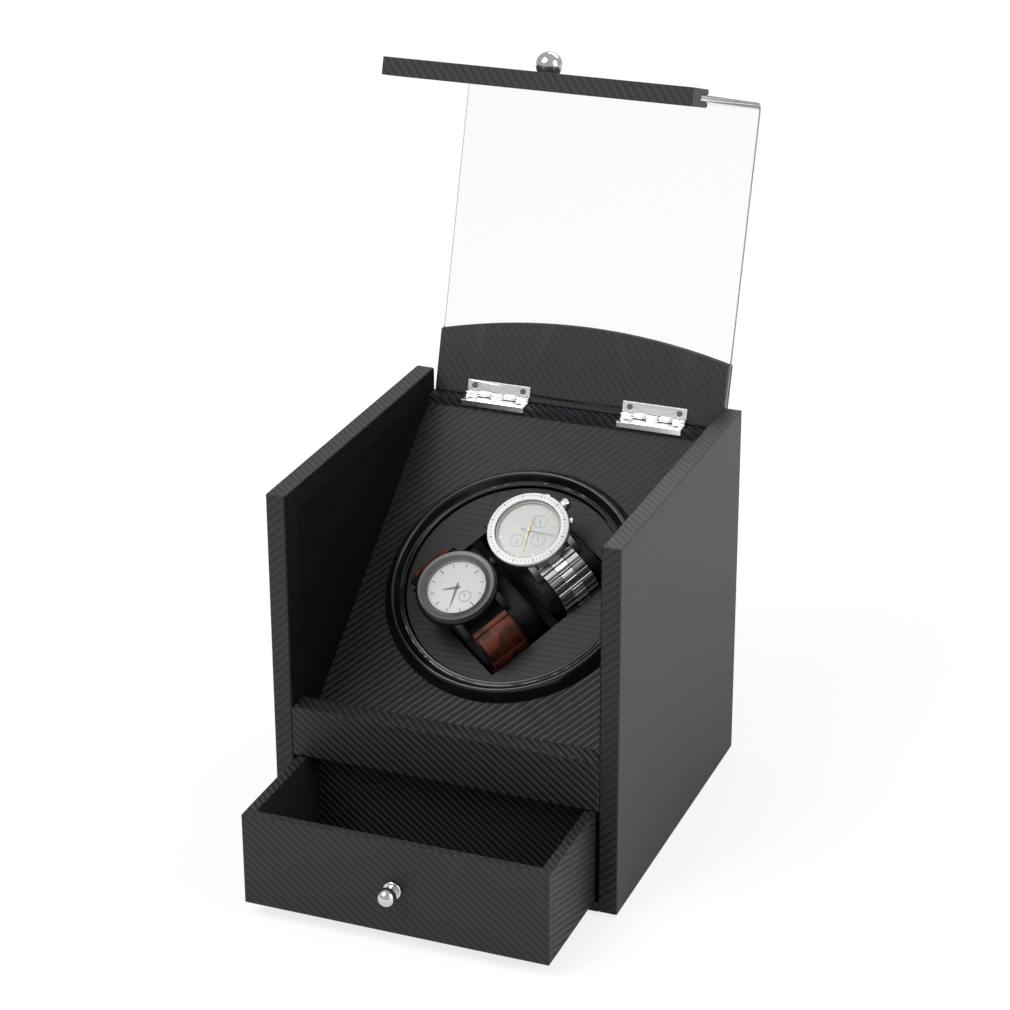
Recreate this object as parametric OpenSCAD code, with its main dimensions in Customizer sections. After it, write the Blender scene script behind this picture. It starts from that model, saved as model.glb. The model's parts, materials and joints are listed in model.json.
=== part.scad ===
// Watch winder box: a leatherette-covered cabinet with a folding clear lid, a shallow drawer
// and a motor-driven turntable that carries two watches on removable cushions.
// X is the width, -Y is the front, Z is up; the origin is on the floor under the cabinet's middle.

/* [Cabinet] */
// Width over the side panels
case_w = 175; // [165:1:190]
// Depth of the side panels
case_d = 179; // [174:1:190]
// Height of the side panels
case_h = 188.5; // [182:0.5:200]
// Thickness of the side panels
side_t = 9.4; // [8:0.2:11]
// Thickness of the back panel
back_t = 9.4; // [8:0.2:11]
// How far the back panel's top lies below the side panels' top
back_drop = 12; // [10:0.5:14]
// Thickness of the base board
base_t = 5; // [4:0.5:7]
// Thickness of the fascia above the drawer
fascia_t = 12; // [9:0.5:14]
// Height of the fascia
fascia_h = 25.5; // [20:0.5:30]
// Thickness of the shelf over the drawer bay
shelf_t = 3; // [2:0.5:5]
// Thickness of the board behind the drawer
bay_back_t = 3; // [2:0.5:5]
// Thickness of the inner side linings
lining_t = 0.6; // [0.4:0.1:1]
// Distance from the panel's front edge to the lining
lining_front = 14; // [13:0.5:20]
// Thickness of the felt pad under the cabinet
foot_h = 1.5; // [1:0.5:4]
// Distance of the felt pad from the cabinet's edges
foot_inset = 4; // [2:0.5:10]

/* [Drawer] */
// Clearance at each side of the drawer
drawer_gap = 1.8; // [0.8:0.1:3]
// Height of the drawer as a share of the side panels' height
drawer_share = 0.2525; // [0.2:0.0005:0.27]
// Depth of the drawer, front to back
drawer_d = 78; // [68:1:86]
// Thickness of the drawer's walls
drawer_t = 5.5; // [4:0.5:7]
// Thickness of the drawer's bottom
drawer_bottom_t = 3; // [2:0.5:4]
// Thickness of the drawer's floor lining
drawer_lining_t = 0.8; // [0.5:0.1:1.5]
// How far the drawer stands out
drawer_pull = 60; // [50:1:64]
// Clearance under the drawer
drawer_under = 0.4; // [0.3:0.1:0.8]
// Clearance over the drawer
drawer_over = 0.8; // [0.5:0.1:1.5]
// Clearance behind the closed drawer
drawer_behind = 1; // [0.5:0.5:3]

/* [Turntable board] */
// Gap between the fascia and the sloping board's lower edge
board_gap = 0.4; // [0.2:0.1:1]
// Thickness of the turntable board
board_t = 6; // [4:0.5:8]
// How far the board's upper edge lies below the back panel's top
board_drop = 4.2; // [3.5:0.1:6]
// Place of the turntable's axis on the board, as a share of its length from the upper edge
table_share = 0.487; // [0.46:0.001:0.5]
// Radius of the turntable
table_r = 54.6; // [54:0.1:58]
// Thickness of the turntable's plate
table_t = 3; // [2:0.2:4]
// Height of the turntable's face over the board
table_rise = 1.4; // [0.6:0.1:2]
// Turned angle of the turntable
table_turn = 55; // [0:1:90]
// Running gap around the turntable
table_gap = 0.6; // [0.4:0.1:1]
// Width of the bezel ring's inner slope
ring_neck_t = 5.8; // [3:0.1:7]
// Width of the bezel ring's outer slope
ring_flange_w = 4.4; // [3:0.2:7]
// Height of the bezel ring over the board
ring_h = 6; // [4:0.5:8]

/* [Watch wells] */
// Width of each well
well_w = 38; // [34:0.5:39]
// Length of each well
well_l = 66; // [58:0.5:68]
// Depth of the wells under the turntable's face
well_d = 16.4; // [14:0.2:20]
// Wall between and around the wells
well_wall = 2; // [1.2:0.1:2.2]
// Clearance of a cushion at each side of its well
cushion_gap = 0.8; // [0.5:0.1:1.5]
// Clearance of a watch strap at each end of its well
strap_gap = 1.2; // [0.6:0.1:2]
// Height of the cushions
cushion_h = 27.2; // [24:0.2:32]
// Radius of the cushions' rounded ends
cushion_r = 9; // [8:0.5:12]

/* [Watches] */
// Radius of a watch case
watch_r = 20.5; // [17:0.5:21]
// Thickness of a watch case
watch_t = 9; // [7:0.5:11]
// How far the steel watch sits off its cushion's middle, across the well
steel_watch_off = -0.8; // [-5:0.2:5]
// How far the leather-strapped watch sits off its cushion's middle, across the well
leather_watch_off = -5.8; // [-7:0.2:5]
// How far both watches sit off their cushions' middle, along the well
watch_up = 5.5; // [-6:0.5:6]
// Radius of the steel watch's dial
steel_dial_r = 16.6; // [13:0.2:17]
// Radius of the leather watch's dial
leather_dial_r = 14.8; // [12:0.2:16]
// Thickness of a dial
dial_t = 0.5; // [0.3:0.1:0.8]
// Thickness of a watch glass
glass_t = 1.2; // [0.8:0.1:1.6]
// Width of the steel bracelet
bracelet_w = 20; // [16:0.5:24]
// Width of the leather strap
strap_w = 20; // [16:0.5:24]
// Thickness of the bracelet and the strap
strap_t = 2.6; // [2:0.1:3.2]
// Radius of a crown
crown_r = 2.8; // [2:0.1:3.2]
// Radius of a crown's stem
stem_r = 1; // [0.8:0.1:1.4]
// Length of the steel watch's crown
steel_crown_l = 3.6; // [2:0.1:5]
// Length of the leather watch's crown
leather_crown_l = 2.2; // [1.6:0.1:2.4]
// Gap between a crown and its watch case
crown_gap = 0.3; // [0.2:0.05:0.4]
// Running clearance of a crown's stem
stem_play = 0.05; // [0.03:0.01:0.1]

/* [Lid] */
// Clearance at each side of the lid
lid_gap = 0.3; // [0.2:0.1:1]
// Thickness of the clear sheet
sheet_t = 3; // [2:0.2:4]
// Inner radius of the sheet's fold
fold_r = 1.5; // [0.5:0.5:4]
// Height of the front rail
rail_h = 24.7; // [20:0.1:28]
// Depth of the groove in the front rail
groove_d = 11.5; // [6:0.5:14]
// Height of the front rail's lower edge over the shelf
rail_over_shelf = 13.4; // [12:0.2:20]
// Gap between the fascia and the closed rail
rail_gap = 0.4; // [0.3:0.1:1]
// Length of the hinge boards at their sides
hinge_board_l = 31.3; // [26:0.1:36]
// Extra length of the hinge boards in the middle
hinge_board_arch = 9.4; // [4:0.2:14]
// Length of the hinge boards behind the hinge pin
lid_tail = 0.8; // [0.3:0.1:0.8]
// Opened angle of the lid
lid_open = 107; // [95:1:108]

/* [Hinges] */
// Distance of the hinge pin from the cabinet's back
pin_from_back = 2.5; // [2.5:0.1:4]
// Radius of the hinge knuckles
knuckle_r = 1.4; // [1.3:0.05:1.6]
// Clearance of the knuckles to the boards
knuckle_gap = 0.3; // [0.2:0.05:0.5]
// Radius of the hinge pin
pin_r = 0.7; // [0.5:0.05:0.8]
// Running clearance of the hinge pin
pin_play = 0.05; // [0.03:0.01:0.1]
// Thickness of the hinge leaves
leaf_t = 0.8; // [0.6:0.1:1]
// Length of a hinge
leaf_l = 34; // [26:1:40]
// Width of a lid leaf from the pin
leaf_w = 7; // [6.4:0.2:9]
// Distance of each hinge from the middle
hinge_x = 42; // [36:1:50]
// Height of the folded lip on a body leaf
lip_h = 2.2; // [2:0.2:4]
// Distance between a leaf's screws
screw_pitch = 26.4; // [18:0.2:27]
// Radius of a hinge screw's shank
hinge_screw_r = 0.8; // [0.6:0.05:1]
// Length of a hinge screw in the wood
hinge_screw_l = 5; // [3:0.5:6]
// Gap between neighbouring knuckles
knuckle_space = 0.2; // [0.1:0.05:0.4]

/* [Knobs] */
// Radius of the drawer knob's ball
drawer_ball_r = 4.5; // [4:0.1:5.2]
// Length of the drawer knob
drawer_knob_l = 12; // [10:0.2:14]
// Radius of the lid knob's ball
lid_ball_r = 6.4; // [5:0.1:6.6]
// Length of the lid knob
lid_knob_l = 10.2; // [9:0.2:13]
// Height of the lid knob over the rail's lower edge
lid_knob_z = 17.5; // [15:0.5:18]
// Radius of a knob screw's shank
knob_screw_r = 1.6; // [1.2:0.1:2]
// Radius of a knob screw's head
knob_head_r = 3.2; // [2.6:0.1:4]
// Height of a knob screw's head
knob_head_h = 1.6; // [1:0.2:2.4]

/* [Drive] */
// Gear module
gear_m = 0.8; // [0.7:0.05:0.9]
// Teeth of the turntable gear
table_teeth = 54; // [45:3:60]
// Teeth of the motor pinion
pinion_teeth = 18; // [18:1:22]
// Thickness of the gears
gear_t = 4; // [3:0.5:5]
// Backlash of the gears
backlash = 0.3; // [0.2:0.05:0.4]
// Radius of the spindle
spindle_r = 3; // [2.5:0.1:4]
// Running clearance of the spindle
spindle_play = 0.05; // [0.03:0.01:0.1]
// Radius of the bushes
bush_r = 5; // [4.5:0.1:6]
// Radius of the bushes' flanges
bush_flange_r = 7; // [6:0.1:8]
// Thickness of the bushes' flanges
bush_flange_t = 1; // [0.6:0.1:1.6]
// Radius of the turntable's hub
hub_r = 9; // [7:0.5:12]
// Length of the turntable's hub
hub_l = 6; // [4:0.5:8]
// Thickness of the drive's plates
plate_t = 2; // [1.6:0.2:3]
// Width of the front plate outside the posts' middle
plate_margin = 4.3; // [3.6:0.1:5]
// Gap between the hub and the front bush
hub_space = 0.8; // [0.5:0.1:1.5]
// Gap between each plate and the gears
gear_space = 3; // [2.5:0.5:4]
// Radius of the posts that hang the drive from the board
post_r = 3.4; // [3:0.1:4]
// Clearance between the posts and the bezel ring
post_clear = 1.5; // [0.8:0.1:3]
// Radius of the screws in the posts
post_screw_r = 1.5; // [1:0.1:1.8]
// Length of the spindle's end below the back plate
spindle_end = 1.8; // [1.2:0.1:4]
// Clearance added to the gears' distance
gear_clearance = 0.1; // [0.05:0.05:0.2]
// Distance of the plate spacers from the turntable's axis across the slope
spacer_x = 27; // [25:0.5:30]
// Distance of the lower plate spacers down the slope
spacer_down = 27; // [25:0.5:30]
// Distance of the upper plate spacers up the slope
spacer_up = 45; // [43:0.5:47]
// Radius of the plate spacers
spacer_r = 3; // [2:0.2:3.6]
// Radius of the motor
motor_r = 12; // [9:0.5:14]
// Length of the motor
motor_l = 25; // [18:0.5:28]
// Radius of the motor's shaft
motor_shaft_r = 1.5; // [1:0.1:2]

/* [Power] */
// Distance of the power inlet from the cabinet's middle
jack_x = 28; // [15:1:45]
// Height of the power inlet and the switch over the base board
power_z = 24; // [18:1:34]
// Radius of the power inlet's barrel
jack_r = 4; // [3.5:0.1:5]
// Radius of the power inlet's bore
jack_bore_r = 2.75; // [2.5:0.05:3.2]
// Width of the switch's housing
switch_w = 19; // [15:0.5:21]
// Height of the switch's housing
switch_h = 13; // [10:0.5:15]
// Depth of the switch's housing inside the panel
switch_d = 13; // [11:0.5:16]
// Thickness of the rims of the inlet and the switch outside the panel
rim_t = 1.2; // [0.8:0.1:2]
// Length of the inlet's barrel inside the panel
jack_inside = 4; // [2:0.5:8]
// Thickness of the inlet's closed end
jack_end = 3; // [2:0.5:4]
// Wall of the switch's housing
switch_wall = 2; // [1.5:0.1:3]
// Radius of the rocker's pivots
rocker_pin_r = 1; // [0.8:0.1:1.4]
// Running clearance of the rocker's pivots
rocker_play = 0.05; // [0.03:0.01:0.1]
// Gap around the rocker
rocker_gap = 0.8; // [0.6:0.1:1.2]
// Depth of the rocker's pivot behind the panel's face
rocker_depth = 1.4; // [1:0.1:2]
// Tilt of the rocker from level
rocker_tilt = 8; // [4:1:12]
// Width of the circuit board
pcb_w = 46; // [36:1:60]
// Depth of the circuit board
pcb_d = 32; // [24:1:40]
// Thickness of the circuit board
pcb_t = 1.6; // [1:0.2:2]
// Height of the circuit board's spacers
spacer_h = 4; // [3:0.5:8]
// Distance of the circuit board from the back panel
pcb_from_back = 14; // [8:1:20]
// Height of the plugs on the circuit board
plug_h = 5.4; // [4:0.2:8]
// Height of the chip on the circuit board
chip_h = 1.6; // [1:0.2:2.4]

/* [Hidden] */
$fn = 64;

black = [0.09, 0.09, 0.1];
dark = [0.14, 0.14, 0.15];
grey = [0.3, 0.3, 0.31];
chrome = [0.8, 0.8, 0.82];
brass = [0.75, 0.62, 0.3];
eps = 0.01;
thin = 1;

// cabinet
inner_w = case_w - 2 * side_t;
front_y = -case_d / 2;
back_y = case_d / 2;
back_front = back_y - back_t;
base_z = foot_h;
floor_z = base_z + base_t;
drawer_w = inner_w - 2 * drawer_gap;
drawer_h = case_h * drawer_share;
bay_h = drawer_under + drawer_h + drawer_over;
shelf_z = floor_z + bay_h;
shelf_top = shelf_z + shelf_t;
top_z = base_z + case_h;
ledge_z = top_z - back_drop;
fascia_back = front_y + fascia_t;
bay_back_y = front_y + drawer_d + drawer_behind;
lined_w = inner_w - 2 * lining_t;

// sloping board: its upper face meets the back panel at board_top_z
board_top_z = ledge_z - board_drop;
board_low_y = fascia_back + board_gap;
slope = atan((board_top_z - shelf_top) / (back_front - board_low_y));
table_from_top = table_share * (board_top_z - shelf_top) / sin(slope);
table_y = back_front - table_from_top * cos(slope);
table_z = board_top_z - table_from_top * sin(slope);
ring_in = table_r + table_gap;
ring_out = ring_in + ring_neck_t;
flange_r = ring_out + ring_flange_w;

// turntable levels, measured along its axis from the board's upper face
plate_low = table_rise - table_t;
well_floor = table_rise - well_d;
cup_low = well_floor - well_wall;
hub_low = cup_low - hub_l;
front_plate_top = hub_low - hub_space - bush_flange_t;
front_plate_low = front_plate_top - plate_t;
gear_top = front_plate_low - gear_space;
gear_low = gear_top - gear_t;
back_plate_top = gear_low - gear_space;
back_plate_low = back_plate_top - plate_t;
spindle_low = back_plate_low - spindle_end;
table_gear_r = gear_m * table_teeth / 2;
pinion_r = gear_m * pinion_teeth / 2;
gear_distance = table_gear_r + pinion_r + gear_clearance;
spacer_low = -spacer_down;
plate_rim = spacer_r * 5 / 3;
post_at = (ring_out + post_clear + post_r) / sqrt(2);
plate_half = post_at + plate_margin;

// cushions and watches, in the turntable's frame
well_x = (well_w + well_wall) / 2;
cushion_w = well_w - 2 * cushion_gap;
loop_l = well_l - 2 * strap_gap;
cushion_low = well_floor + 0.3 + strap_t + 0.3;
cushion_l = loop_l - 2 * strap_t - 0.6;
cushion_top = cushion_low + cushion_h;
case_low = cushion_top + 0.3;
case_top = case_low + watch_t;
dial_z = case_top - glass_t - 1.6;

// lid, as it lies closed
pin_y = back_y - pin_from_back;
pin_z = ledge_z + knuckle_r + knuckle_gap;
lid_low = pin_z + knuckle_r + knuckle_gap;
lid_t = top_z - lid_low;
lid_w = lined_w - 2 * lid_gap;
lid_back = pin_y + lid_tail;
sheet_z = lid_low + (lid_t - sheet_t) / 2;
rail_y = fascia_back + rail_gap;
rail_low = shelf_top + rail_over_shelf;
rail_top = rail_low + rail_h;
sheet_y = rail_y + (lid_t - sheet_t) / 2;
sheet_low = rail_top - groove_d + 0.1;
arch_r = (pow(lid_w / 2, 2) + pow(hinge_board_arch, 2)) / (2 * hinge_board_arch);
knuckle_l = (leaf_l - 4 * knuckle_space) / 5;
ledge_run = pin_y - back_front;
leaf_screw_y = pin_y - (knuckle_r + ledge_run) / 2;
lid_screw_y = pin_y - (knuckle_r + leaf_w) / 2;
lid_board_t = sheet_z - lid_low;
jack_z = floor_z + power_z;

// drawer, as it stands pulled out
drawer_y = front_y - drawer_pull;
drawer_z = floor_z + drawer_under;
drawer_inner_w = drawer_w - 2 * drawer_t;
knob_z = drawer_z + drawer_h / 2;

// helpers
module block(x0, x1, y0, y1, z0, z1) {
  translate([x0, y0, z0]) cube([x1 - x0, y1 - y0, z1 - z0]);
}

module slab(w, y0, y1, z0, z1) {
  block(-w / 2, w / 2, y0, y1, z0, z1);
}

// a profile in the Y-Z plane, drawn as [y, z], made w wide across X
module across(w) {
  translate([-w / 2, 0, 0]) rotate([90, 0, 90]) linear_extrude(w) children();
}

module on_table() {
  translate([0, table_y, table_z]) rotate([slope, 0, 0]) children();
}

module turned() {
  on_table() rotate([0, 0, table_turn]) children();
}

module lid_pose() {
  translate([0, pin_y, pin_z]) rotate([-lid_open, 0, 0]) translate([0, -pin_y, -pin_z]) children();
}

// a screw along -Z whose head's top is at the origin
module screw(shank_r, head_r, head_h, l) {
  difference() {
    union() {
      translate([0, 0, -head_h]) cylinder(r1 = shank_r, r2 = head_r, h = head_h);
      translate([0, 0, -head_h - l]) cylinder(r = shank_r, h = l + eps);
    }
    for (a = [0, 90])
      rotate([0, 0, a]) translate([-head_r * 0.6, -head_r * 0.11, -head_h * 0.45])
        cube([head_r * 1.2, head_r * 0.22, head_h]);
  }
}

// cabinet
module side_panel() {
  block(inner_w / 2, case_w / 2, front_y, back_y, base_z, top_z);
}

module side_panel_right() {
  color(grey) side_panel();
}

module side_panel_left() {
  color(grey) mirror([1, 0, 0]) side_panel();
}

module side_lining() {
  block(lined_w / 2, inner_w / 2, front_y + lining_front, back_front, shelf_top, ledge_z);
}

module side_lining_right() {
  color(black) side_lining();
}

module side_lining_left() {
  color(black) mirror([1, 0, 0]) side_lining();
}

module base_board() {
  color(dark) slab(inner_w, front_y, back_front, base_z, floor_z);
}

module back_panel() {
  color(grey) difference() {
    slab(inner_w, back_front, back_y, base_z, ledge_z);
    for (s = [-1, 1])
      for (i = [-1, 1])
        translate([s * hinge_x + i * screw_pitch / 2, leaf_screw_y, ledge_z - hinge_screw_l])
          cylinder(r = hinge_screw_r, h = hinge_screw_l + thin);
    translate([-jack_x, back_front - thin, jack_z]) rotate([-90, 0, 0])
      cylinder(r = jack_r, h = back_t + 2 * thin);
    translate([jack_x, (back_front + back_y) / 2, jack_z])
      cube([switch_w, back_t + 2 * thin, switch_h], center = true);
  }
}

module fascia_board() {
  color(dark) slab(inner_w, front_y, fascia_back, shelf_z, shelf_z + fascia_h);
}

module bay_shelf() {
  color(dark) slab(inner_w, fascia_back, back_front, shelf_z, shelf_top);
}

module bay_back_board() {
  color(dark) slab(inner_w, bay_back_y, bay_back_y + bay_back_t, floor_z, shelf_z);
}

module turntable_board() {
  low_run = board_t / sin(slope);
  back_fall = board_t / cos(slope);
  color(dark) difference() {
    across(lined_w) polygon([
      [board_low_y, shelf_top],
      [board_low_y + low_run, shelf_top],
      [back_front, board_top_z - back_fall],
      [back_front, board_top_z]
    ]);
    on_table() translate([0, 0, -board_t - thin]) cylinder(r = ring_out, h = board_t + 2 * thin);
    on_table() for_posts() translate([0, 0, -board_t - thin])
      cylinder(r = post_screw_r, h = board_t);
  }
}

module base_pad() {
  x = case_w - 2 * foot_inset;
  y = case_d / 2 - foot_inset;
  color(black) slab(x, -y, y, 0, foot_h);
}

module bezel_ring() {
  color(black) on_table() rotate_extrude($fn = 128) polygon([
    [ring_in, -board_t],
    [ring_out, -board_t],
    [ring_out, 0],
    [flange_r, 0],
    [flange_r, ring_h * 0.16],
    [flange_r - ring_flange_w * 0.3, ring_h * 0.5],
    [flange_r - ring_flange_w * 0.66, ring_h * 0.85],
    [flange_r - ring_flange_w * 0.86, ring_h * 0.97],
    [ring_out, ring_h],
    [ring_out - ring_neck_t * 0.12, ring_h * 0.97],
    [ring_out - ring_neck_t * 0.25, ring_h * 0.84],
    [ring_out - ring_neck_t * 0.55, ring_h * 0.42],
    [ring_out - ring_neck_t * 0.62, ring_h * 0.38],
    [ring_in + ring_neck_t * 0.24, ring_h * 0.38],
    [ring_in + ring_neck_t * 0.2, ring_h * 0.48],
    [ring_in + ring_neck_t * 0.04, ring_h * 0.48],
    [ring_in, ring_h * 0.44]
  ]);
}

// drawer
module drawer_front() {
  color(dark) difference() {
    slab(drawer_w, drawer_y, drawer_y + drawer_t, drawer_z, drawer_z + drawer_h);
    translate([0, drawer_y - thin, knob_z]) rotate([-90, 0, 0])
      cylinder(r = knob_screw_r, h = drawer_t + 2 * thin);
  }
}

module drawer_side() {
  block(drawer_inner_w / 2, drawer_w / 2, drawer_y + drawer_t, drawer_y + drawer_d - drawer_t,
    drawer_z, drawer_z + drawer_h);
}

module drawer_side_right() {
  color(dark) drawer_side();
}

module drawer_side_left() {
  color(dark) mirror([1, 0, 0]) drawer_side();
}

module drawer_back() {
  color(dark) slab(drawer_w, drawer_y + drawer_d - drawer_t, drawer_y + drawer_d,
    drawer_z, drawer_z + drawer_h);
}

module drawer_bottom() {
  color(dark) slab(drawer_inner_w, drawer_y + drawer_t, drawer_y + drawer_d - drawer_t,
    drawer_z, drawer_z + drawer_bottom_t);
}

module drawer_lining() {
  z = drawer_z + drawer_bottom_t;
  color(black) slab(drawer_inner_w, drawer_y + drawer_t, drawer_y + drawer_d - drawer_t,
    z, z + drawer_lining_t);
}

// a turned knob along +Z, its foot at the origin, threaded for a screw from behind
module knob(ball_r, l) {
  foot_r = drawer_ball_r;
  foot_h = foot_r * 0.45;
  rim_h = foot_r * 0.14;
  neck_r = foot_r * 0.62;
  ball_z = l - ball_r;
  difference() {
    union() {
      cylinder(r1 = foot_r - rim_h, r2 = foot_r, h = rim_h);
      translate([0, 0, rim_h - eps]) cylinder(r = foot_r, h = foot_h - 2 * rim_h + 2 * eps);
      translate([0, 0, foot_h - rim_h]) cylinder(r1 = foot_r, r2 = foot_r - 2 * rim_h, h = rim_h);
      cylinder(r = neck_r, h = ball_z);
      intersection() {
        translate([0, 0, ball_z]) sphere(r = ball_r);
        cylinder(r = ball_r + thin, h = l + thin);
      }
    }
    translate([0, 0, -thin]) cylinder(r = knob_screw_r, h = l * 0.45 + thin);
  }
}

// the knob's screw along +Z, from a head inside the board up into the knob
module knob_screw(board, l) {
  translate([0, 0, -board - knob_head_h]) cylinder(r = knob_head_r, h = knob_head_h);
  translate([0, 0, -board - eps]) cylinder(r = knob_screw_r, h = board + l * 0.4);
}

module drawer_knob() {
  color(chrome) translate([0, drawer_y, knob_z]) rotate([90, 0, 0]) knob(drawer_ball_r, drawer_knob_l);
}

module drawer_knob_screw() {
  color(chrome) translate([0, drawer_y, knob_z]) rotate([90, 0, 0])
    knob_screw(drawer_t, drawer_knob_l);
}

// lid
module lid_window() {
  color([0.9, 0.92, 0.93, 0.35]) lid_pose() across(lid_w) difference() {
    union() {
      translate([sheet_y + fold_r + sheet_t, sheet_z])
        square([lid_back - sheet_y - fold_r - sheet_t, sheet_t]);
      translate([sheet_y, sheet_low])
        square([sheet_t, sheet_z - fold_r - sheet_low]);
      translate([sheet_y + fold_r + sheet_t, sheet_z - fold_r]) intersection() {
        circle(r = fold_r + sheet_t);
        translate([-fold_r - sheet_t, 0]) square(fold_r + sheet_t);
      }
    }
    translate([sheet_y + fold_r + sheet_t, sheet_z - fold_r]) circle(r = fold_r);
  }
}

module lid_front_rail() {
  lip_t = (lid_t - sheet_t) / 2;
  color(dark) lid_pose() difference() {
    across(lid_w) {
      translate([rail_y, rail_low]) square([lid_t, rail_h - groove_d]);
      for (y = [rail_y, rail_y + lid_t - lip_t]) {
        translate([y, rail_low]) square([lip_t, rail_h - lip_t / 2]);
        translate([y + lip_t / 2, rail_top - lip_t / 2]) circle(r = lip_t / 2);
      }
    }
    translate([0, rail_y - thin, rail_low + lid_knob_z]) rotate([-90, 0, 0])
      cylinder(r = knob_screw_r, h = lip_t + 2 * thin);
  }
}

module hinge_board(z0, z1) {
  front = pin_y - hinge_board_l - hinge_board_arch;
  lid_pose() intersection() {
    slab(lid_w, front, lid_back, z0, z1);
    translate([0, front + arch_r, z0 - thin]) cylinder(r = arch_r, h = z1 - z0 + 2 * thin, $fn = 256);
  }
}

module lid_hinge_board_inner() {
  color(dark) difference() {
    hinge_board(lid_low, sheet_z);
    lid_pose() for_leaf_screws() translate([0, 0, lid_low - thin])
      cylinder(r = hinge_screw_r, h = sheet_z - lid_low + 2 * thin);
  }
}

module lid_hinge_board_outer() {
  color(dark) hinge_board(sheet_z + sheet_t, top_z);
}

module lid_knob() {
  color(chrome) lid_pose() translate([0, rail_y, rail_low + lid_knob_z]) rotate([90, 0, 0])
    knob(lid_ball_r, lid_knob_l);
}

module lid_knob_screw() {
  color(chrome) lid_pose() translate([0, rail_y, rail_low + lid_knob_z]) rotate([90, 0, 0])
    cylinder(r = knob_screw_r, h = lid_knob_l * 0.4);
}

// hinges
module for_leaf_screws() {
  for (i = [-1, 1])
    for (j = [-1, 1])
      translate([i * hinge_x + j * screw_pitch / 2, lid_screw_y, 0]) children();
}

module for_body_screws() {
  for (i = [-1, 1])
    for (j = [-1, 1])
      translate([i * hinge_x + j * screw_pitch / 2, leaf_screw_y, 0]) children();
}

module countersink(z) {
  translate([0, 0, z]) cylinder(r1 = hinge_screw_r, r2 = hinge_screw_r * 2, h = leaf_t);
}

// a leaf with its knuckles, the pin along X at the origin, the leaf towards -Y under z = top
module leaf(w, top, knuckles, bore_r) {
  pitch = knuckle_l + knuckle_space;
  difference() {
    union() {
      block(-leaf_l / 2, leaf_l / 2, -w, 0, top - leaf_t, top);
      for (k = knuckles)
        translate([-leaf_l / 2 + k * pitch, 0, 0]) rotate([0, 90, 0])
          cylinder(r = knuckle_r, h = knuckle_l);
    }
    for (k = [0:4])
      if (len(search(k, knuckles)) == 0)
        translate([-leaf_l / 2 + k * pitch - knuckle_space, -knuckle_r - knuckle_gap, -3 * knuckle_r])
          cube([knuckle_l + 2 * knuckle_space, 6 * knuckle_r, 6 * knuckle_r]);
    for (k = [0:3])
      translate([-leaf_l / 2 + k * pitch + knuckle_l, -knuckle_r - knuckle_gap, -3 * knuckle_r])
        cube([knuckle_space, 6 * knuckle_r, 6 * knuckle_r]);
    rotate([0, 90, 0]) cylinder(r = bore_r, h = leaf_l + 2 * thin, center = true);
  }
}

module hinge_lid_leaves() {
  color(chrome) lid_pose() difference() {
    for (i = [-1, 1])
      translate([i * hinge_x, pin_y, pin_z])
        leaf(leaf_w, lid_low - pin_z, [1, 3], pin_r + pin_play);
    for_leaf_screws() translate([0, 0, lid_low - leaf_t]) mirror([0, 0, 1])
      translate([0, 0, -leaf_t]) cylinder(r1 = hinge_screw_r, r2 = hinge_screw_r * 2, h = leaf_t);
  }
}

module hinge_lid_screws() {
  color(chrome) lid_pose() for_leaf_screws() translate([0, 0, lid_low - leaf_t])
    mirror([0, 0, 1]) screw(hinge_screw_r, hinge_screw_r * 2, leaf_t, lid_board_t - 0.2);
}

module hinge_body_leaves() {
  color(chrome) difference() {
    union() {
      for (i = [-1, 1])
        translate([i * hinge_x, pin_y, pin_z])
          leaf(ledge_run + leaf_t, ledge_z + leaf_t - pin_z, [0, 2, 4], pin_r);
      for (i = [-1, 1])
        translate([i * hinge_x - leaf_l / 2, back_front - leaf_t, ledge_z - lip_h])
          cube([leaf_l, leaf_t, lip_h + leaf_t / 2]);
    }
    for_body_screws() countersink(ledge_z);
  }
}

module hinge_body_screws() {
  color(chrome) for_body_screws() translate([0, 0, ledge_z + leaf_t])
    screw(hinge_screw_r, hinge_screw_r * 2, leaf_t, hinge_screw_l - 0.2);
}

module hinge_pins() {
  color(chrome) for (i = [-1, 1])
    translate([i * hinge_x, pin_y, pin_z]) rotate([0, 90, 0])
      cylinder(r = pin_r, h = leaf_l, center = true);
}

// turntable and its drive
module wells(low, high) {
  for (i = [-1, 1])
    translate([i * well_x - well_w / 2, -well_l / 2, low]) cube([well_w, well_l, high - low]);
}

module turntable_plate() {
  color(dark) turned() difference() {
    translate([0, 0, plate_low]) cylinder(r = table_r, h = table_t, $fn = 128);
    wells(plate_low - thin, table_rise + thin);
  }
}

module turntable_wells() {
  color(dark) turned() difference() {
    union() {
      for (i = [-1, 1])
        translate([i * well_x - well_w / 2 - well_wall, -well_l / 2 - well_wall, cup_low])
          cube([well_w + 2 * well_wall, well_l + 2 * well_wall, plate_low - cup_low]);
      translate([0, 0, hub_low]) cylinder(r = hub_r, h = hub_l + eps);
    }
    wells(well_floor, plate_low + thin);
    translate([0, 0, hub_low - thin]) cylinder(r = spindle_r, h = hub_l + thin);
  }
}

module spindle() {
  color(chrome) on_table() translate([0, 0, spindle_low])
    cylinder(r = spindle_r, h = cup_low - spindle_low);
}

// involute gear outline: half the tooth's angle at radius r is tooth_half(n, r)
pressure = 20;

function inv(a) = tan(a) * 180 / PI - a;

function tooth_half(n, r) =
  let (p = gear_m * n / 2, b = p * cos(pressure))
  90 / n - backlash / (4 * p) * 180 / PI + inv(pressure) - (r > b ? inv(acos(b / r)) : 0);

function polar(r, a) = [r * cos(a), r * sin(a)];

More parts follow.
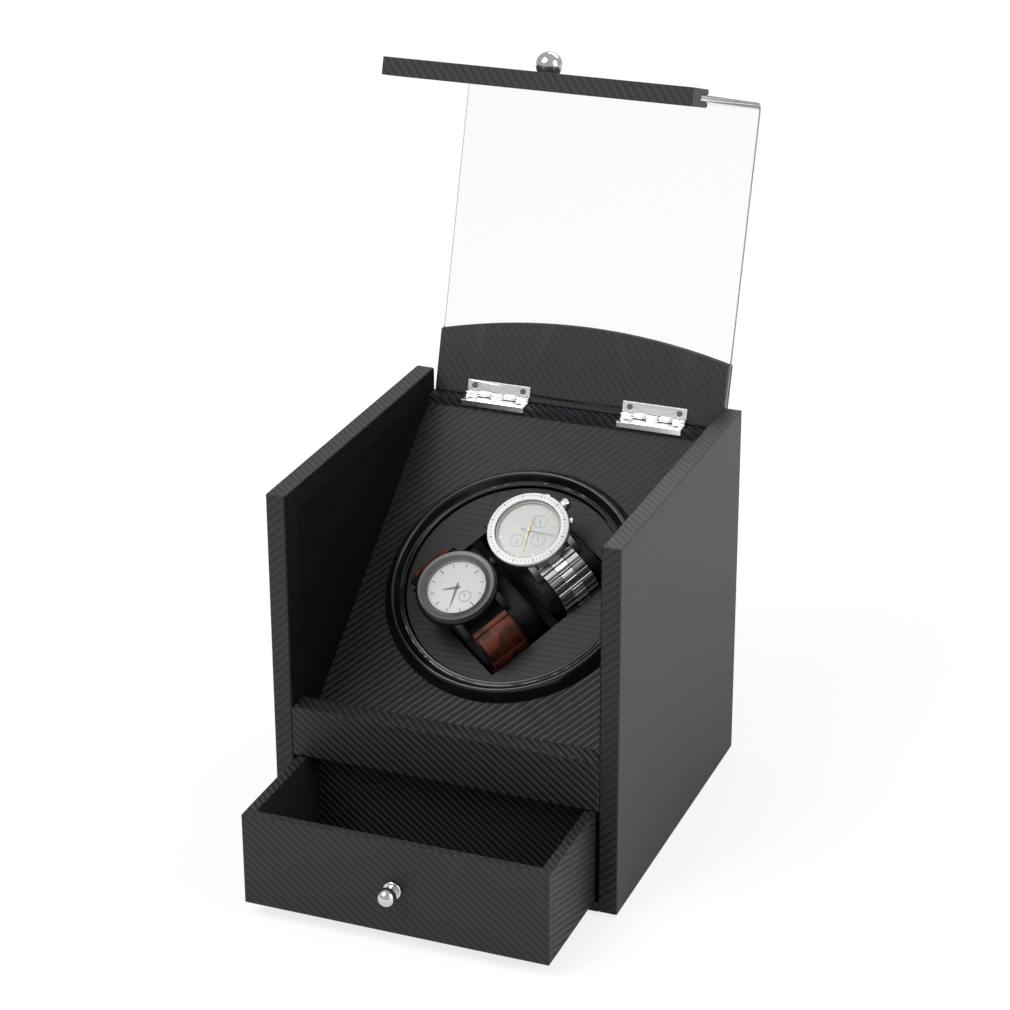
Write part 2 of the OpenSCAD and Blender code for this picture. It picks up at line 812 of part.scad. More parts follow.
module gear_outline(n) {
  p = gear_m * n / 2;
  root = p - 1.25 * gear_m;
  tip = p + gear_m;
  low = max(root + 0.01, p * cos(pressure));
  radii = [root, low, (low + p) / 2, p, (p + tip) / 2, tip];
  polygon([
    for (k = [0:n - 1])
      each concat(
        [for (r = radii) polar(r, k * 360 / n - tooth_half(n, r))],
        [for (i = [5:-1:0]) polar(radii[i], k * 360 / n + tooth_half(n, radii[i]))]
      )
  ]);
}

module turntable_gear() {
  lightening = table_gear_r * 0.62;
  color(brass) on_table() translate([0, 0, gear_low]) difference() {
    linear_extrude(gear_t) rotate(90 + 180 / table_teeth) gear_outline(table_teeth);
    translate([0, 0, -thin]) cylinder(r = spindle_r, h = gear_t + 2 * thin);
    for (a = [0:60:300])
      rotate([0, 0, a]) translate([lightening, 0, -thin])
        cylinder(r = table_gear_r * 0.14, h = gear_t + 2 * thin);
  }
}

module motor_pinion() {
  color(brass) on_table() translate([0, gear_distance, 0]) {
    translate([0, 0, gear_low]) linear_extrude(gear_t) rotate(-90) gear_outline(pinion_teeth);
    translate([0, 0, back_plate_low - motor_l * 0.4])
      cylinder(r = motor_shaft_r, h = gear_low - back_plate_low + motor_l * 0.4 + eps);
  }
}

module for_posts() {
  for (i = [-1, 1])
    for (j = [-1, 1])
      translate([i * post_at, j * post_at, 0]) children();
}

module for_spacers() {
  for (i = [-1, 1])
    for (y = [spacer_low, spacer_up])
      translate([i * spacer_x, y, 0]) children();
}

module drive_front_plate() {
  color(grey) on_table() difference() {
    block(-plate_half, plate_half, -plate_half, plate_half, front_plate_low, front_plate_top);
    translate([0, 0, front_plate_low - thin]) cylinder(r = bush_r, h = plate_t + 2 * thin);
    for_posts() translate([0, 0, front_plate_low - thin])
      cylinder(r = post_screw_r, h = plate_t + 2 * thin);
  }
}

module drive_back_plate() {
  color(grey) on_table() difference() {
    block(-spacer_x - plate_rim, spacer_x + plate_rim, spacer_low - plate_rim, spacer_up + plate_rim,
      back_plate_low, back_plate_top);
    translate([0, 0, back_plate_low - thin]) cylinder(r = bush_r, h = plate_t + 2 * thin);
    translate([0, gear_distance, back_plate_low - thin])
      cylinder(r = motor_r * 0.35, h = plate_t + 2 * thin);
  }
}

module plate_spacers() {
  color(brass) on_table() for_spacers() translate([0, 0, back_plate_top])
    cylinder(r = spacer_r, h = front_plate_low - back_plate_top);
}

module drive_posts() {
  color(brass) on_table() for_posts() difference() {
    translate([0, 0, front_plate_top]) cylinder(r = post_r, h = -board_t - front_plate_top);
    translate([0, 0, front_plate_top - thin])
      cylinder(r = post_screw_r, h = -board_t - front_plate_top + 2 * thin);
  }
}

module drive_screws() {
  color(chrome) on_table() for_posts() {
    translate([0, 0, front_plate_low - post_screw_r]) cylinder(r = post_screw_r * 1.9, h = post_screw_r);
    translate([0, 0, front_plate_low - eps])
      cylinder(r = post_screw_r, h = -board_t * 0.4 - front_plate_low);
  }
}

module bush(plate_low_z, plate_top_z) {
  difference() {
    union() {
      translate([0, 0, plate_low_z]) cylinder(r = bush_r, h = plate_t);
      translate([0, 0, plate_top_z]) cylinder(r = bush_flange_r, h = bush_flange_t);
    }
    translate([0, 0, plate_low_z - thin])
      cylinder(r = spindle_r + spindle_play, h = plate_t + bush_flange_t + 2 * thin);
  }
}

module spindle_bushes() {
  color(brass) on_table() {
    bush(front_plate_low, front_plate_top);
    bush(back_plate_low, back_plate_top);
  }
}

module gear_motor() {
  boss_r = motor_r * 0.35;
  ear_w = motor_r * 0.5;
  color(chrome) on_table() translate([0, gear_distance, 0]) difference() {
    union() {
      translate([0, 0, back_plate_low - motor_l]) cylinder(r = motor_r, h = motor_l);
      translate([0, 0, back_plate_low - eps]) cylinder(r = boss_r, h = plate_t);
      block(-motor_r - ear_w, motor_r + ear_w, -ear_w / 2, ear_w / 2, back_plate_low - 1, back_plate_low);
    }
    translate([0, 0, back_plate_low - motor_l * 0.45])
      cylinder(r = motor_shaft_r + spindle_play, h = motor_l);
  }
}

// power and control
pcb_y = back_front - pcb_from_back - pcb_d;
pcb_top = floor_z + spacer_h + pcb_t;

module on_pcb(x0, x1, y0, y1, h) {
  block(pcb_w * x0, pcb_w * x1, pcb_y + pcb_d * y0, pcb_y + pcb_d * y1, pcb_top - eps, pcb_top + h);
}

module circuit_board() {
  color([0.1, 0.35, 0.18]) {
    slab(pcb_w, pcb_y, pcb_y + pcb_d, pcb_top - pcb_t, pcb_top);
    on_pcb(-0.3, -0.08, 0.3, 0.55, chip_h);
    on_pcb(0.05, 0.22, 0.1, 0.32, plug_h);
    on_pcb(-0.42, -0.2, 0.72, 0.92, plug_h);
    on_pcb(0.2, 0.42, 0.72, 0.92, plug_h);
  }
}

module board_spacers() {
  color(chrome) for (i = [-1, 1])
    for (y = [0.1, 0.9])
      translate([i * pcb_w * 0.44, pcb_y + pcb_d * y, floor_z])
        cylinder(r = pcb_w * 0.04, h = spacer_h);
}

module power_inlet() {
  l = back_t + jack_inside;
  color(black) translate([-jack_x, back_y - l, jack_z]) rotate([-90, 0, 0]) difference() {
    union() {
      cylinder(r = jack_r, h = l + eps);
      translate([0, 0, l]) cylinder(r = jack_r * 1.4, h = rim_t);
    }
    translate([0, 0, jack_end]) cylinder(r = jack_bore_r, h = l);
  }
}

switch_hole_w = switch_w - 2 * switch_wall;
switch_hole_h = switch_h - 1.5 * switch_wall;

module at_switch() {
  translate([jack_x, back_y - rocker_depth, jack_z]) children();
}

module switch_housing() {
  color(black) difference() {
    union() {
      translate([jack_x, back_y - switch_d / 2, jack_z])
        cube([switch_w, switch_d + 2 * eps, switch_h], center = true);
      translate([jack_x, back_y + rim_t / 2, jack_z])
        cube([switch_w + 2 * rim_t, rim_t, switch_h + 2 * rim_t], center = true);
    }
    translate([jack_x, back_y + switch_wall, jack_z])
      cube([switch_hole_w, 2 * switch_d, switch_hole_h], center = true);
    at_switch() rotate([0, 90, 0])
      cylinder(r = rocker_pin_r + rocker_play, h = switch_hole_w + switch_wall, center = true);
  }
}

module switch_rocker() {
  half = switch_hole_h / 2 - rocker_gap;
  out = rocker_depth + rim_t - 0.2;
  color(dark) at_switch() rotate([rocker_tilt, 0, 0]) {
    across(switch_hole_w - rocker_gap) polygon([
      [-half / 2, -half], [out, -half], [out * 0.66, 0], [out, half], [-half / 2, half],
      [-half, half * 0.3], [-half, -half * 0.3]
    ]);
    rotate([0, 90, 0])
      cylinder(r = rocker_pin_r, h = switch_hole_w + switch_wall * 0.7, center = true);
  }
}

// cushions and watches: a rounded block in the frame of one well
module loop_profile(l, h, r) {
  translate([-l / 2 + r, 0]) square([l - 2 * r, h]);
  translate([-l / 2, r]) square([l, h - 2 * r]);
  for (y = [-l / 2 + r, l / 2 - r])
    for (z = [r, h - r])
      translate([y, z]) circle(r = r);
}

module in_well(side) {
  turned() translate([side * well_x, 0, 0]) children();
}

function watch_off(side) = side > 0 ? steel_watch_off : leather_watch_off;

module at_watch(side) {
  in_well(side) translate([watch_off(side), watch_up, 0]) children();
}

module cushion(side) {
  in_well(side) translate([0, 0, cushion_low]) across(cushion_w)
    loop_profile(cushion_l, cushion_h, cushion_r);
}

module cushion_left() {
  color(black) cushion(-1);
}

module cushion_right() {
  color(black) cushion(1);
}

module strap(side, w) {
  o = strap_t + 0.3;
  in_well(side) translate([watch_off(side), 0, 0]) difference() {
    translate([0, 0, cushion_low - o]) across(w)
      loop_profile(cushion_l + 2 * o, cushion_h + 2 * o, cushion_r + o);
    translate([0, 0, cushion_low - 0.3]) across(w + 2)
      loop_profile(cushion_l + 0.6, cushion_h + 0.6, cushion_r + 0.3);
    translate([0, watch_up, case_low - 0.3]) cylinder(r = watch_r + 0.3, h = watch_t);
  }
}

module crown_axis(side) {
  at_watch(side) translate([watch_r, 0, case_low + watch_t * 0.5]) rotate([0, 90, 0]) children();
}

module watch_case(side, dial_r) {
  difference() {
    at_watch(side) difference() {
      union() {
        translate([0, 0, case_low]) cylinder(r = watch_r * 0.9, h = watch_t * 0.25);
        translate([0, 0, case_low + watch_t * 0.2]) cylinder(r = watch_r, h = watch_t * 0.62);
        translate([0, 0, case_low + watch_t * 0.82 - eps])
          cylinder(r1 = watch_r, r2 = watch_r * 0.93, h = watch_t * 0.18 + eps);
      }
      translate([0, 0, dial_z - dial_t]) cylinder(r = dial_r, h = watch_t);
    }
    crown_axis(side) translate([0, 0, -watch_r * 0.1])
      cylinder(r = stem_r + stem_play, h = watch_r * 0.2);
  }
}

module watch_dial(side, dial_r) {
  hand_t = dial_t / 2;
  hand_w = dial_r / 20;
  at_watch(side) {
    translate([0, 0, dial_z - dial_t]) cylinder(r = dial_r, h = dial_t);
    for (a = [0:30:330])
      rotate([0, 0, a]) translate([dial_r * 0.78, -hand_w / 3, dial_z - eps])
        cube([dial_r * 0.14, hand_w * 2 / 3, hand_t]);
    translate([0, 0, dial_z - eps]) cylinder(r = hand_w, h = 4 * hand_t);
    rotate([0, 0, 60]) translate([0, -hand_w / 2, dial_z + hand_t])
      cube([dial_r * 0.5, hand_w, hand_t]);
    rotate([0, 0, -115]) translate([0, -hand_w / 2, dial_z + 2.5 * hand_t])
      cube([dial_r * 0.75, hand_w, hand_t]);
  }
}

module watch_glass(side, dial_r) {
  at_watch(side) translate([0, 0, case_top - glass_t]) cylinder(r = dial_r, h = glass_t);
}

module watch_crown(side, l) {
  crown_axis(side) {
    translate([0, 0, -watch_r * 0.09]) cylinder(r = stem_r, h = watch_r * 0.09 + crown_gap + eps);
    translate([0, 0, crown_gap]) cylinder(r = crown_r, h = l);
  }
}

module steel_watch_case() {
  color(chrome) watch_case(1, steel_dial_r);
}

module steel_watch_dial() {
  color([0.9, 0.9, 0.86]) watch_dial(1, steel_dial_r);
}

module steel_watch_glass() {
  color([0.9, 0.95, 0.95, 0.35]) watch_glass(1, steel_dial_r);
}

module steel_watch_bracelet() {
  color(chrome) strap(1, bracelet_w);
}

module steel_watch_crown() {
  color(chrome) watch_crown(1, steel_crown_l);
}

module leather_watch_case() {
  color(grey) watch_case(-1, leather_dial_r);
}

module leather_watch_dial() {
  color([0.92, 0.92, 0.9]) watch_dial(-1, leather_dial_r);
}

module leather_watch_glass() {
  color([0.9, 0.95, 0.95, 0.35]) watch_glass(-1, leather_dial_r);
}

module leather_watch_strap() {
  color([0.4, 0.18, 0.1]) strap(-1, strap_w);
}

module leather_watch_crown() {
  color(grey) watch_crown(-1, leather_crown_l);
}

side_panel_left();
side_panel_right();
side_lining_left();
side_lining_right();
base_board();
back_panel();
fascia_board();
bay_shelf();
bay_back_board();
turntable_board();
base_pad();
bezel_ring();
drawer_front();
drawer_side_left();
drawer_side_right();
drawer_back();
drawer_bottom();
drawer_lining();
drawer_knob();
drawer_knob_screw();
lid_window();
lid_front_rail();
lid_hinge_board_inner();
lid_hinge_board_outer();
lid_knob();
lid_knob_screw();
hinge_lid_leaves();
hinge_lid_screws();
hinge_body_leaves();
hinge_body_screws();
hinge_pins();
turntable_plate();
turntable_wells();
spindle();
turntable_gear();
drive_front_plate();
drive_back_plate();
drive_posts();
drive_screws();
plate_spacers();
spindle_bushes();
gear_motor();
motor_pinion();
circuit_board();
board_spacers();
power_inlet();
switch_housing();
switch_rocker();
cushion_left();
cushion_right();
steel_watch_case();
steel_watch_dial();
steel_watch_glass();
steel_watch_bracelet();
steel_watch_crown();
leather_watch_case();
leather_watch_dial();
leather_watch_glass();
leather_watch_strap();
leather_watch_crown();
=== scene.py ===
"""Dresses a two-watch winder box: wrapped boards, a clear lid, chrome fittings, a turntable and watches.

The frame holds every rigid part at its true size; this script gives each visible surface its finish and
replaces the plain boards, cushions and watches with detailed pieces. Lengths are in millimetres inside the
builders and become metres when a piece is made.
"""

import json
import math

import bmesh
import bpy
from mathutils import Matrix, Vector


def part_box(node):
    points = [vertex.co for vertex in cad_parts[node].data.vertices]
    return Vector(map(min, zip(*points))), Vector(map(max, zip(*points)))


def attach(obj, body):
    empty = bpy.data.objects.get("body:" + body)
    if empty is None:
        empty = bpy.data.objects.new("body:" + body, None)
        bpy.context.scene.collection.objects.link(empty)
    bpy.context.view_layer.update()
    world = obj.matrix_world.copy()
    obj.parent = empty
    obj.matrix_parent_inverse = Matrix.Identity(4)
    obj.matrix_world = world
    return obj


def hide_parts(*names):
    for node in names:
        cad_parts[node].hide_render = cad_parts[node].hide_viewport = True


bl_info = {
    "name": "Watch winder box",
    "version": (1, 0, 0),
    "blender": (4, 5, 0),
    "location": "3D View > Sidebar > Winder",
    "description": "Builds the finished pieces of a two-watch winder box around its frame",
    "category": "Add Mesh",
}

MM = 0.001
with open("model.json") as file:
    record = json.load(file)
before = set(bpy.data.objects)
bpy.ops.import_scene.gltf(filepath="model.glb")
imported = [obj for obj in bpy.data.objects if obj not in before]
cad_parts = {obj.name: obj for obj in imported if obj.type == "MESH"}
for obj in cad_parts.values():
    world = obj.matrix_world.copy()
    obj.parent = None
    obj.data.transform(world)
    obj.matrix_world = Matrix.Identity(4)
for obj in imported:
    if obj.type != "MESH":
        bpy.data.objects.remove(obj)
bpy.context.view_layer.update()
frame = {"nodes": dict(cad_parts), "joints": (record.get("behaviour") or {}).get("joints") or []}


# ---------------------------------------------------------------- places in the frame


def node_box(node):
    """Lowest and highest corner of a frame node, in millimetres."""
    low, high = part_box(node)
    return low / MM, high / MM


def joint(name):
    """The frame's joint of that name."""
    return next(j for j in frame["joints"] if j["name"] == name)


def node_centre(node):
    """Middle of a frame node's box, in millimetres."""
    low, high = node_box(node)
    return (low + high) / 2


def turn_about(axis, degrees):
    """Matrix of a turn about X, Y or Z."""
    return Matrix.Rotation(math.radians(degrees), 4, axis)


def turntable_place():
    """Matrix of the turntable's own frame: X across the wells, Z along its axis."""
    spin = joint("turntable_spin")
    centre = Vector(spin["pos_m"]) / MM
    up = Vector(spin["axis"]).normalized()
    across = node_centre("cushion_right") - node_centre("cushion_left")
    across = (across - up * across.dot(up)).normalized()
    along = up.cross(across)
    rotation = Matrix((across, along, up)).transposed().to_4x4()
    return Matrix.Translation(centre) @ rotation


def lid_place():
    """Matrix that carries the lid from its closed pose to its open rest pose."""
    hinge = joint("lid_hinge")
    pin = Vector(hinge["pos_m"]) / MM
    turn = turn_about("X", -hinge["range_deg"][1])
    return Matrix.Translation(pin) @ turn @ Matrix.Translation(-pin)


TABLE = turntable_place()
LID = lid_place()
HERE = Matrix.Identity(4)


# ---------------------------------------------------------------- settings


class BoxSettings(bpy.types.PropertyGroup):
    """Sizes and colours of the cabinet, drawer and lid."""

    edge_radius: bpy.props.FloatProperty(
        name="Board edge radius",
        description="Rounding of the wrapped boards, in millimetres",
        default=0.7, min=0.2, max=2,
    )
    flap_width: bpy.props.FloatProperty(
        name="Turned-over wrap",
        description="Width of the wrap turned onto the inner face, in millimetres",
        default=13.6,
    )
    flap_rise: bpy.props.FloatProperty(
        name="Wrap thickness",
        description="How proud the turned-over wrap stands, in millimetres",
        default=0.35,
    )
    rib_pitch: bpy.props.FloatProperty(
        name="Rib pitch",
        description="Distance between the ribs of the twill, in millimetres",
        default=3.3, min=1, max=6,
    )
    twill_colour: bpy.props.FloatVectorProperty(
        name="Twill colour", description="Colour of the twill leatherette", subtype="COLOR", size=3,
        default=(0.0094, 0.0097, 0.0124),
    )
    grain_colour: bpy.props.FloatVectorProperty(
        name="Side colour", description="Colour of the plain-grain outer sides", subtype="COLOR", size=3,
        default=(0.0165, 0.0165, 0.0186),
    )
    sheet_colour: bpy.props.FloatVectorProperty(
        name="Clear sheet colour", description="Tint of the clear lid", subtype="COLOR", size=3,
        default=(0.95, 0.936, 0.92),
    )


class TableSettings(bpy.types.PropertyGroup):
    """Sizes and colours of the turntable, cushions and watches."""

    cushion_growth: bpy.props.FloatProperty(
        name="Cushion growth",
        description="Most that the padding swells, in millimetres",
        default=2.4, min=0, max=4,
    )
    cushion_start: bpy.props.FloatProperty(
        name="Cushion start",
        description="How much smaller the padding starts, in millimetres",
        default=1.5, min=0, max=4,
    )
    cushion_colour: bpy.props.FloatVectorProperty(
        name="Cushion colour", description="Colour of the padded cushions", subtype="COLOR", size=3,
        default=(0.007, 0.0073, 0.008),
    )
    leather_colour: bpy.props.FloatVectorProperty(
        name="Strap colour", description="Colour of the leather strap", subtype="COLOR", size=3,
        default=(0.115, 0.0225, 0.0065),
    )
    dial_colour: bpy.props.FloatVectorProperty(
        name="Dial colour", description="Colour of the watch dials", subtype="COLOR", size=3,
        default=(0.6, 0.595, 0.57),
    )


# ---------------------------------------------------------------- shaders


class Socket:
    """A shader socket that takes part in Python sums; every sum adds a Math node."""

    def __init__(self, shader, socket):
        self.shader = shader
        self.socket = socket

    def math(self, operation, *others, clamp=False):
        """This value, then the others, through a Math node."""
        return self.shader.math(operation, self, *others, clamp=clamp)

    def __add__(self, other):
        return self.math("ADD", other)

    __radd__ = __add__

    def __mul__(self, other):
        return self.math("MULTIPLY", other)

    __rmul__ = __mul__

    def __sub__(self, other):
        return self.math("SUBTRACT", other)

    def __rsub__(self, other):
        return self.shader.math("SUBTRACT", other, self)

    def above(self, edge):
        """1 where this value is over edge, else 0."""
        return self.math("GREATER_THAN", edge)

    def wave(self):
        """A smooth wave from 0 to 1, one cycle for each whole step of this value."""
        return (self * math.tau).math("COSINE") * 0.5 + 0.5

    def clamped(self):
        """This value, kept between 0 and 1."""
        return self.math("ADD", 0, clamp=True)

    def ramp(self, low, high):
        """0 at low and 1 at high, clamped."""
        return ((self - low) * (1 / (high - low))).clamped()


class Shader:
    """The nodes of a material or of the world."""

    def __init__(self, owner):
        self.owner = owner
        owner.use_nodes = True
        self.tree = owner.node_tree
        self.tree.nodes.clear()

    def node(self, kind, settings=None, inputs=None, output=0):
        """Adds a node: its settings first, then its sockets' values or links. Returns one output."""
        node = self.tree.nodes.new(kind)
        for key, value in (settings or {}).items():
            setattr(node, key, value)
        for key, value in (inputs or {}).items():
            if isinstance(value, Socket):
                self.tree.links.new(value.socket, node.inputs[key])
            else:
                node.inputs[key].default_value = value
        return Socket(self, node.outputs[output]) if len(node.outputs) else node

    def math(self, operation, *values, clamp=False):
        """A Math node on sockets and numbers."""
        settings = {"operation": operation, "use_clamp": clamp}
        return self.node("ShaderNodeMath", settings, dict(enumerate(values)))

    def position(self):
        """Place on the object at rest, in metres."""
        return self.node("ShaderNodeTexCoord", output="Object")

    def facing(self):
        """Direction that the surface looks in, on the object at rest."""
        return self.node("ShaderNodeTexCoord", output="Normal")

    def part(self, vector, axis):
        """One coordinate of a vector."""
        return self.node("ShaderNodeSeparateXYZ", {}, {"Vector": vector}, output=axis)

    def seen_directly(self):
        """1 for camera rays and for rays that pass clear pieces, else 0."""
        camera = self.node("ShaderNodeLightPath", output="Is Camera Ray")
        through = self.node("ShaderNodeLightPath", output="Is Transmission Ray")
        return camera.math("MAXIMUM", through)

    def along(self, direction, pitch):
        """Steps of pitch millimetres along a direction of the frame."""
        unit = Vector(direction).normalized() / (pitch * MM)
        settings = {"operation": "DOT_PRODUCT"}
        return self.node("ShaderNodeVectorMath", settings, {0: self.position(), 1: unit}, output="Value")

    def noise(self, size, detail=3.0, stretch=(1, 1, 1)):
        """Noise whose grains are about size millimetres."""
        place = self.node(
            "ShaderNodeVectorMath", {"operation": "MULTIPLY"}, {0: self.position(), 1: Vector(stretch)}
        )
        values = {"Vector": place, "Scale": 1 / (size * MM), "Detail": detail, "Roughness": 0.55}
        return self.node("ShaderNodeTexNoise", {}, values, output="Fac")

    def cells(self, size):
        """Distance from the edges of cells about size millimetres wide."""
        values = {"Vector": self.position(), "Scale": 1 / (size * MM)}
        settings = {"feature": "DISTANCE_TO_EDGE"}
        return self.node("ShaderNodeTexVoronoi", settings, values, output="Distance")

    def mix(self, factor, first, second):
        """A colour between two others."""
        colours = [c if isinstance(c, Socket) else (*c, 1) for c in (first, second)]
        inputs = {0: factor, 6: colours[0], 7: colours[1]}
        return self.node("ShaderNodeMix", {"data_type": "RGBA"}, inputs, output=2)

    def vary(self, factor, colour, low, high):
        """A colour between two shares of itself."""
        return self.mix(factor, lighten(colour, low), lighten(colour, high))

    def bump(self, height, depth, strength):
        """Normal of a relief depth millimetres deep."""
        values = {"Strength": strength, "Distance": depth * MM, "Height": height}
        return self.node("ShaderNodeBump", {}, values)

    def surface(self, **inputs):
        """The principled surface, linked to the output. Colours may be plain triples."""
        names = {
            "colour": "Base Color", "rough": "Roughness", "metal": "Metallic", "normal": "Normal",
            "specular": "Specular IOR Level", "clear": "Transmission Weight", "ior": "IOR",
            "sheen": "Sheen Weight",
        }
        values = {}
        for key, value in inputs.items():
            plain = key == "colour" and not isinstance(value, Socket)
            values[names[key]] = (*value, 1) if plain else value
        self.finish(self.node("ShaderNodeBsdfPrincipled", {}, values))

    def finish(self, shader, output="ShaderNodeOutputMaterial"):
        """Links a shader to the output."""
        self.node(output, {}, {"Surface": shader})


MATERIALS = {}


def material(make, *values, **options):
    """The material that a function makes, made once for each set of values."""
    key = (make.__name__, *values, *sorted(options.items()))
    if key not in MATERIALS:
        shader = Shader(bpy.data.materials.new(make.__name__))
        make(shader, *values, **options)
        MATERIALS[key] = shader.owner
    return MATERIALS[key]


def lighten(colour, share):
    """A colour scaled by share."""
    return tuple(c * share for c in colour)


def flock_lining(shader):
    """Thin matt lining of the inner sides."""
    fibres = shader.noise(0.25, 4.0)
    clouds = shader.noise(22, 2.0)
    shade = shader.mix(fibres * 0.6 + clouds * 0.4, (0.0012, 0.0013, 0.0016), (0.0042, 0.0044, 0.0052))
    shader.surface(
        colour=shade, rough=0.85, specular=0.1, normal=shader.bump(fibres, 0.12, 0.6)
    )


def clear_sheet(shader):
    """Clear acrylic with the faintest smears on its gloss."""
    colour = tuple(bpy.context.scene.winder_box.sheet_colour)
    smears = shader.noise(45).ramp(0.45, 0.8)
    shader.surface(colour=colour, rough=smears * 0.01 + 0.002, clear=1.0, ior=1.49, specular=0.5)


def gloss_ring(shader):
    """Moulded gloss black plastic with faint hairlines."""
    hair = shader.noise(0.8, 2.0)
    dust = shader.noise(9, 4.0).ramp(0.5, 0.8)
    shade = shader.mix(dust * 0.6, (0.006, 0.006, 0.0065), (0.012, 0.012, 0.0125))
    shader.surface(
        colour=shade, rough=0.17 + dust * 0.1, specular=0.5, normal=shader.bump(hair, 0.02, 0.25)
    )


def table_face(shader):
    """Covered face of the turntable: dark with faint ribs."""
    ribs = (shader.along((0, 0.79, 0.61), 3.2) + shader.noise(30, 1.0) * 0.5).wave()
    fine = shader.noise(0.5)
    shade = shader.mix(ribs * 0.7 + fine * 0.3, (0.0056, 0.0056, 0.007), (0.0145, 0.0145, 0.017))
    rough = 0.5 + fine * 0.12
    shader.surface(colour=shade, rough=rough, specular=0.4, normal=shader.bump(ribs + fine * 0.3, 0.1, 0.5))


def chrome(shader):
    """Polished chrome plate with a trace of handling."""
    touch = shader.noise(3.0)
    shade = shader.mix(touch, (0.5, 0.5, 0.52), (0.68, 0.68, 0.69))
    shader.surface(colour=shade, metal=1.0, rough=0.06 + touch * 0.07)


def polished_steel(shader):
    """Polished stainless steel."""
    touch = shader.noise(1.6)
    shade = shader.mix(touch, (0.86, 0.85, 0.83), (0.98, 0.97, 0.95))
    shader.surface(colour=shade, metal=1.0, rough=0.2 + touch * 0.1)


def brushed_steel(shader, direction):
    """Brushed steel: fine hairlines that run along a direction."""
    lines = shader.noise(0.12, 2.0, stretch=direction)
    shade = shader.mix(lines, (0.2, 0.2, 0.2), (0.42, 0.42, 0.415))
    shader.surface(colour=shade, metal=1.0, rough=0.3 + lines * 0.14, normal=shader.bump(lines, 0.02, 0.4))


def dark_screw(shader):
    """Steel of the small screws, coloured darker than the hinge leaves."""
    touch = shader.noise(0.8)
    shade = shader.mix(touch, (0.09, 0.09, 0.09), (0.3, 0.3, 0.3))
    shader.surface(colour=shade, metal=1.0, rough=0.3 + touch * 0.15)


def grey_coat(shader, colour, rough):
    """Bead-blasted and coated watch metal."""
    grit = shader.noise(0.15, 2.0)
    shade = shader.vary(grit, colour, 0.8, 1.25)
    shader.surface(colour=shade, metal=0.85, rough=rough + grit * 0.1, normal=shader.bump(grit, 0.015, 0.4))


def dial_paint(shader):
    """Silver-white dial with a soft grain."""
    colour = tuple(bpy.context.scene.winder_table.dial_colour)
    grain = shader.noise(0.3)
    shade = shader.vary(grain, colour, 0.9, 1.06)
    shader.surface(colour=shade, rough=0.38 + grain * 0.1, specular=0.4)


def ink(shader, colour, rough):
    """Printed marks and small painted parts."""
    grain = shader.noise(0.2, 2.0)
    shade = shader.vary(grain, colour, 0.85, 1.15)
    shader.surface(colour=shade, rough=rough + grain * 0.08)


def watch_glass(shader):
    """Watch crystal: see-through with a faint sheen."""
    clean = shader.noise(6, 2.0)
    gloss = shader.node("ShaderNodeBsdfGlossy", {}, {"Color": (1, 1, 1, 1), "Roughness": clean * 0.1 + 0.22})
    clear = shader.node("ShaderNodeBsdfTransparent", {}, {"Color": (0.97, 0.98, 0.98, 1)})
    edge = shader.node("ShaderNodeLayerWeight", {}, {"Blend": 0.25}, output="Fresnel")
    share = edge * 0.4 + 0.01
    shader.finish(shader.node("ShaderNodeMixShader", {}, {0: share, 1: clear, 2: gloss}))


def strap_leather(shader):
    """Oiled brown leather: grain, creases and darker worn patches."""
    colour = tuple(bpy.context.scene.winder_table.leather_colour)
    pores = shader.cells(0.7).ramp(0.02, 0.3)
    fine = shader.noise(0.3, 4.0)
    patches = shader.noise(6).ramp(0.38, 0.62)
    shade = shader.vary(patches * 0.8 + fine * 0.2, colour, 0.16, 1.1)
    rough = 0.5 + fine * 0.2
    relief = pores * 0.6 + fine * 0.5
    shader.surface(colour=shade, rough=rough, specular=0.3, normal=shader.bump(relief, 0.08, 0.6))


def cushion_cover(shader):
    """Soft black cover of the cushions, with a fine suede-like grain."""
    colour = tuple(bpy.context.scene.winder_table.cushion_colour)
    fine = shader.noise(0.35, 4.0)
    creases = shader.noise(6).ramp(0.4, 0.7)
    shade = shader.vary(fine * 0.5 + creases * 0.4, colour, 0.6, 1.6)
    shader.surface(
        colour=shade, rough=0.62 + fine * 0.15, specular=0.22, sheen=0.02,
        normal=shader.bump(fine + creases * 0.5, 0.12, 0.6),
    )


def rubber_pad(shader):
    """Matt rubber of the foot pads."""
    grain = shader.noise(0.6)
    shade = shader.mix(grain, (0.008, 0.008, 0.008), (0.02, 0.02, 0.02))
    shader.surface(colour=shade, rough=0.75 + grain * 0.1, normal=shader.bump(grain, 0.1, 0.5))


def moulded_plastic(shader, colour, rough):
    """Moulded plastic with a fine spark-eroded texture."""
    grain = shader.noise(0.25, 2.0)
    shade = shader.vary(grain, colour, 0.85, 1.2)
    shader.surface(colour=shade, rough=rough + grain * 0.12, normal=shader.bump(grain, 0.03, 0.4))


def plain_metal(shader, colour, rough):
    """Turned or pressed metal of the drive."""
    lines = shader.noise(0.3, 2.0, stretch=(1, 6, 1))
    shade = shader.vary(lines, colour, 0.8, 1.15)
    shader.surface(colour=shade, metal=1.0, rough=rough + lines * 0.12, normal=shader.bump(lines, 0.02, 0.3))


def circuit_lacquer(shader):
    """Green lacquered circuit board with lighter tracks."""
    rows = shader.along((1, 0, 0), 2.2).wave().above(0.86)
    columns = shader.along((0, 1, 0), 2.9).wave().above(0.9)
    tracks = (rows + columns).clamped()
    shade = shader.mix(tracks, (0.008, 0.05, 0.02), (0.02, 0.12, 0.045))
    shader.surface(colour=shade, rough=0.3 + shader.noise(2) * 0.1)


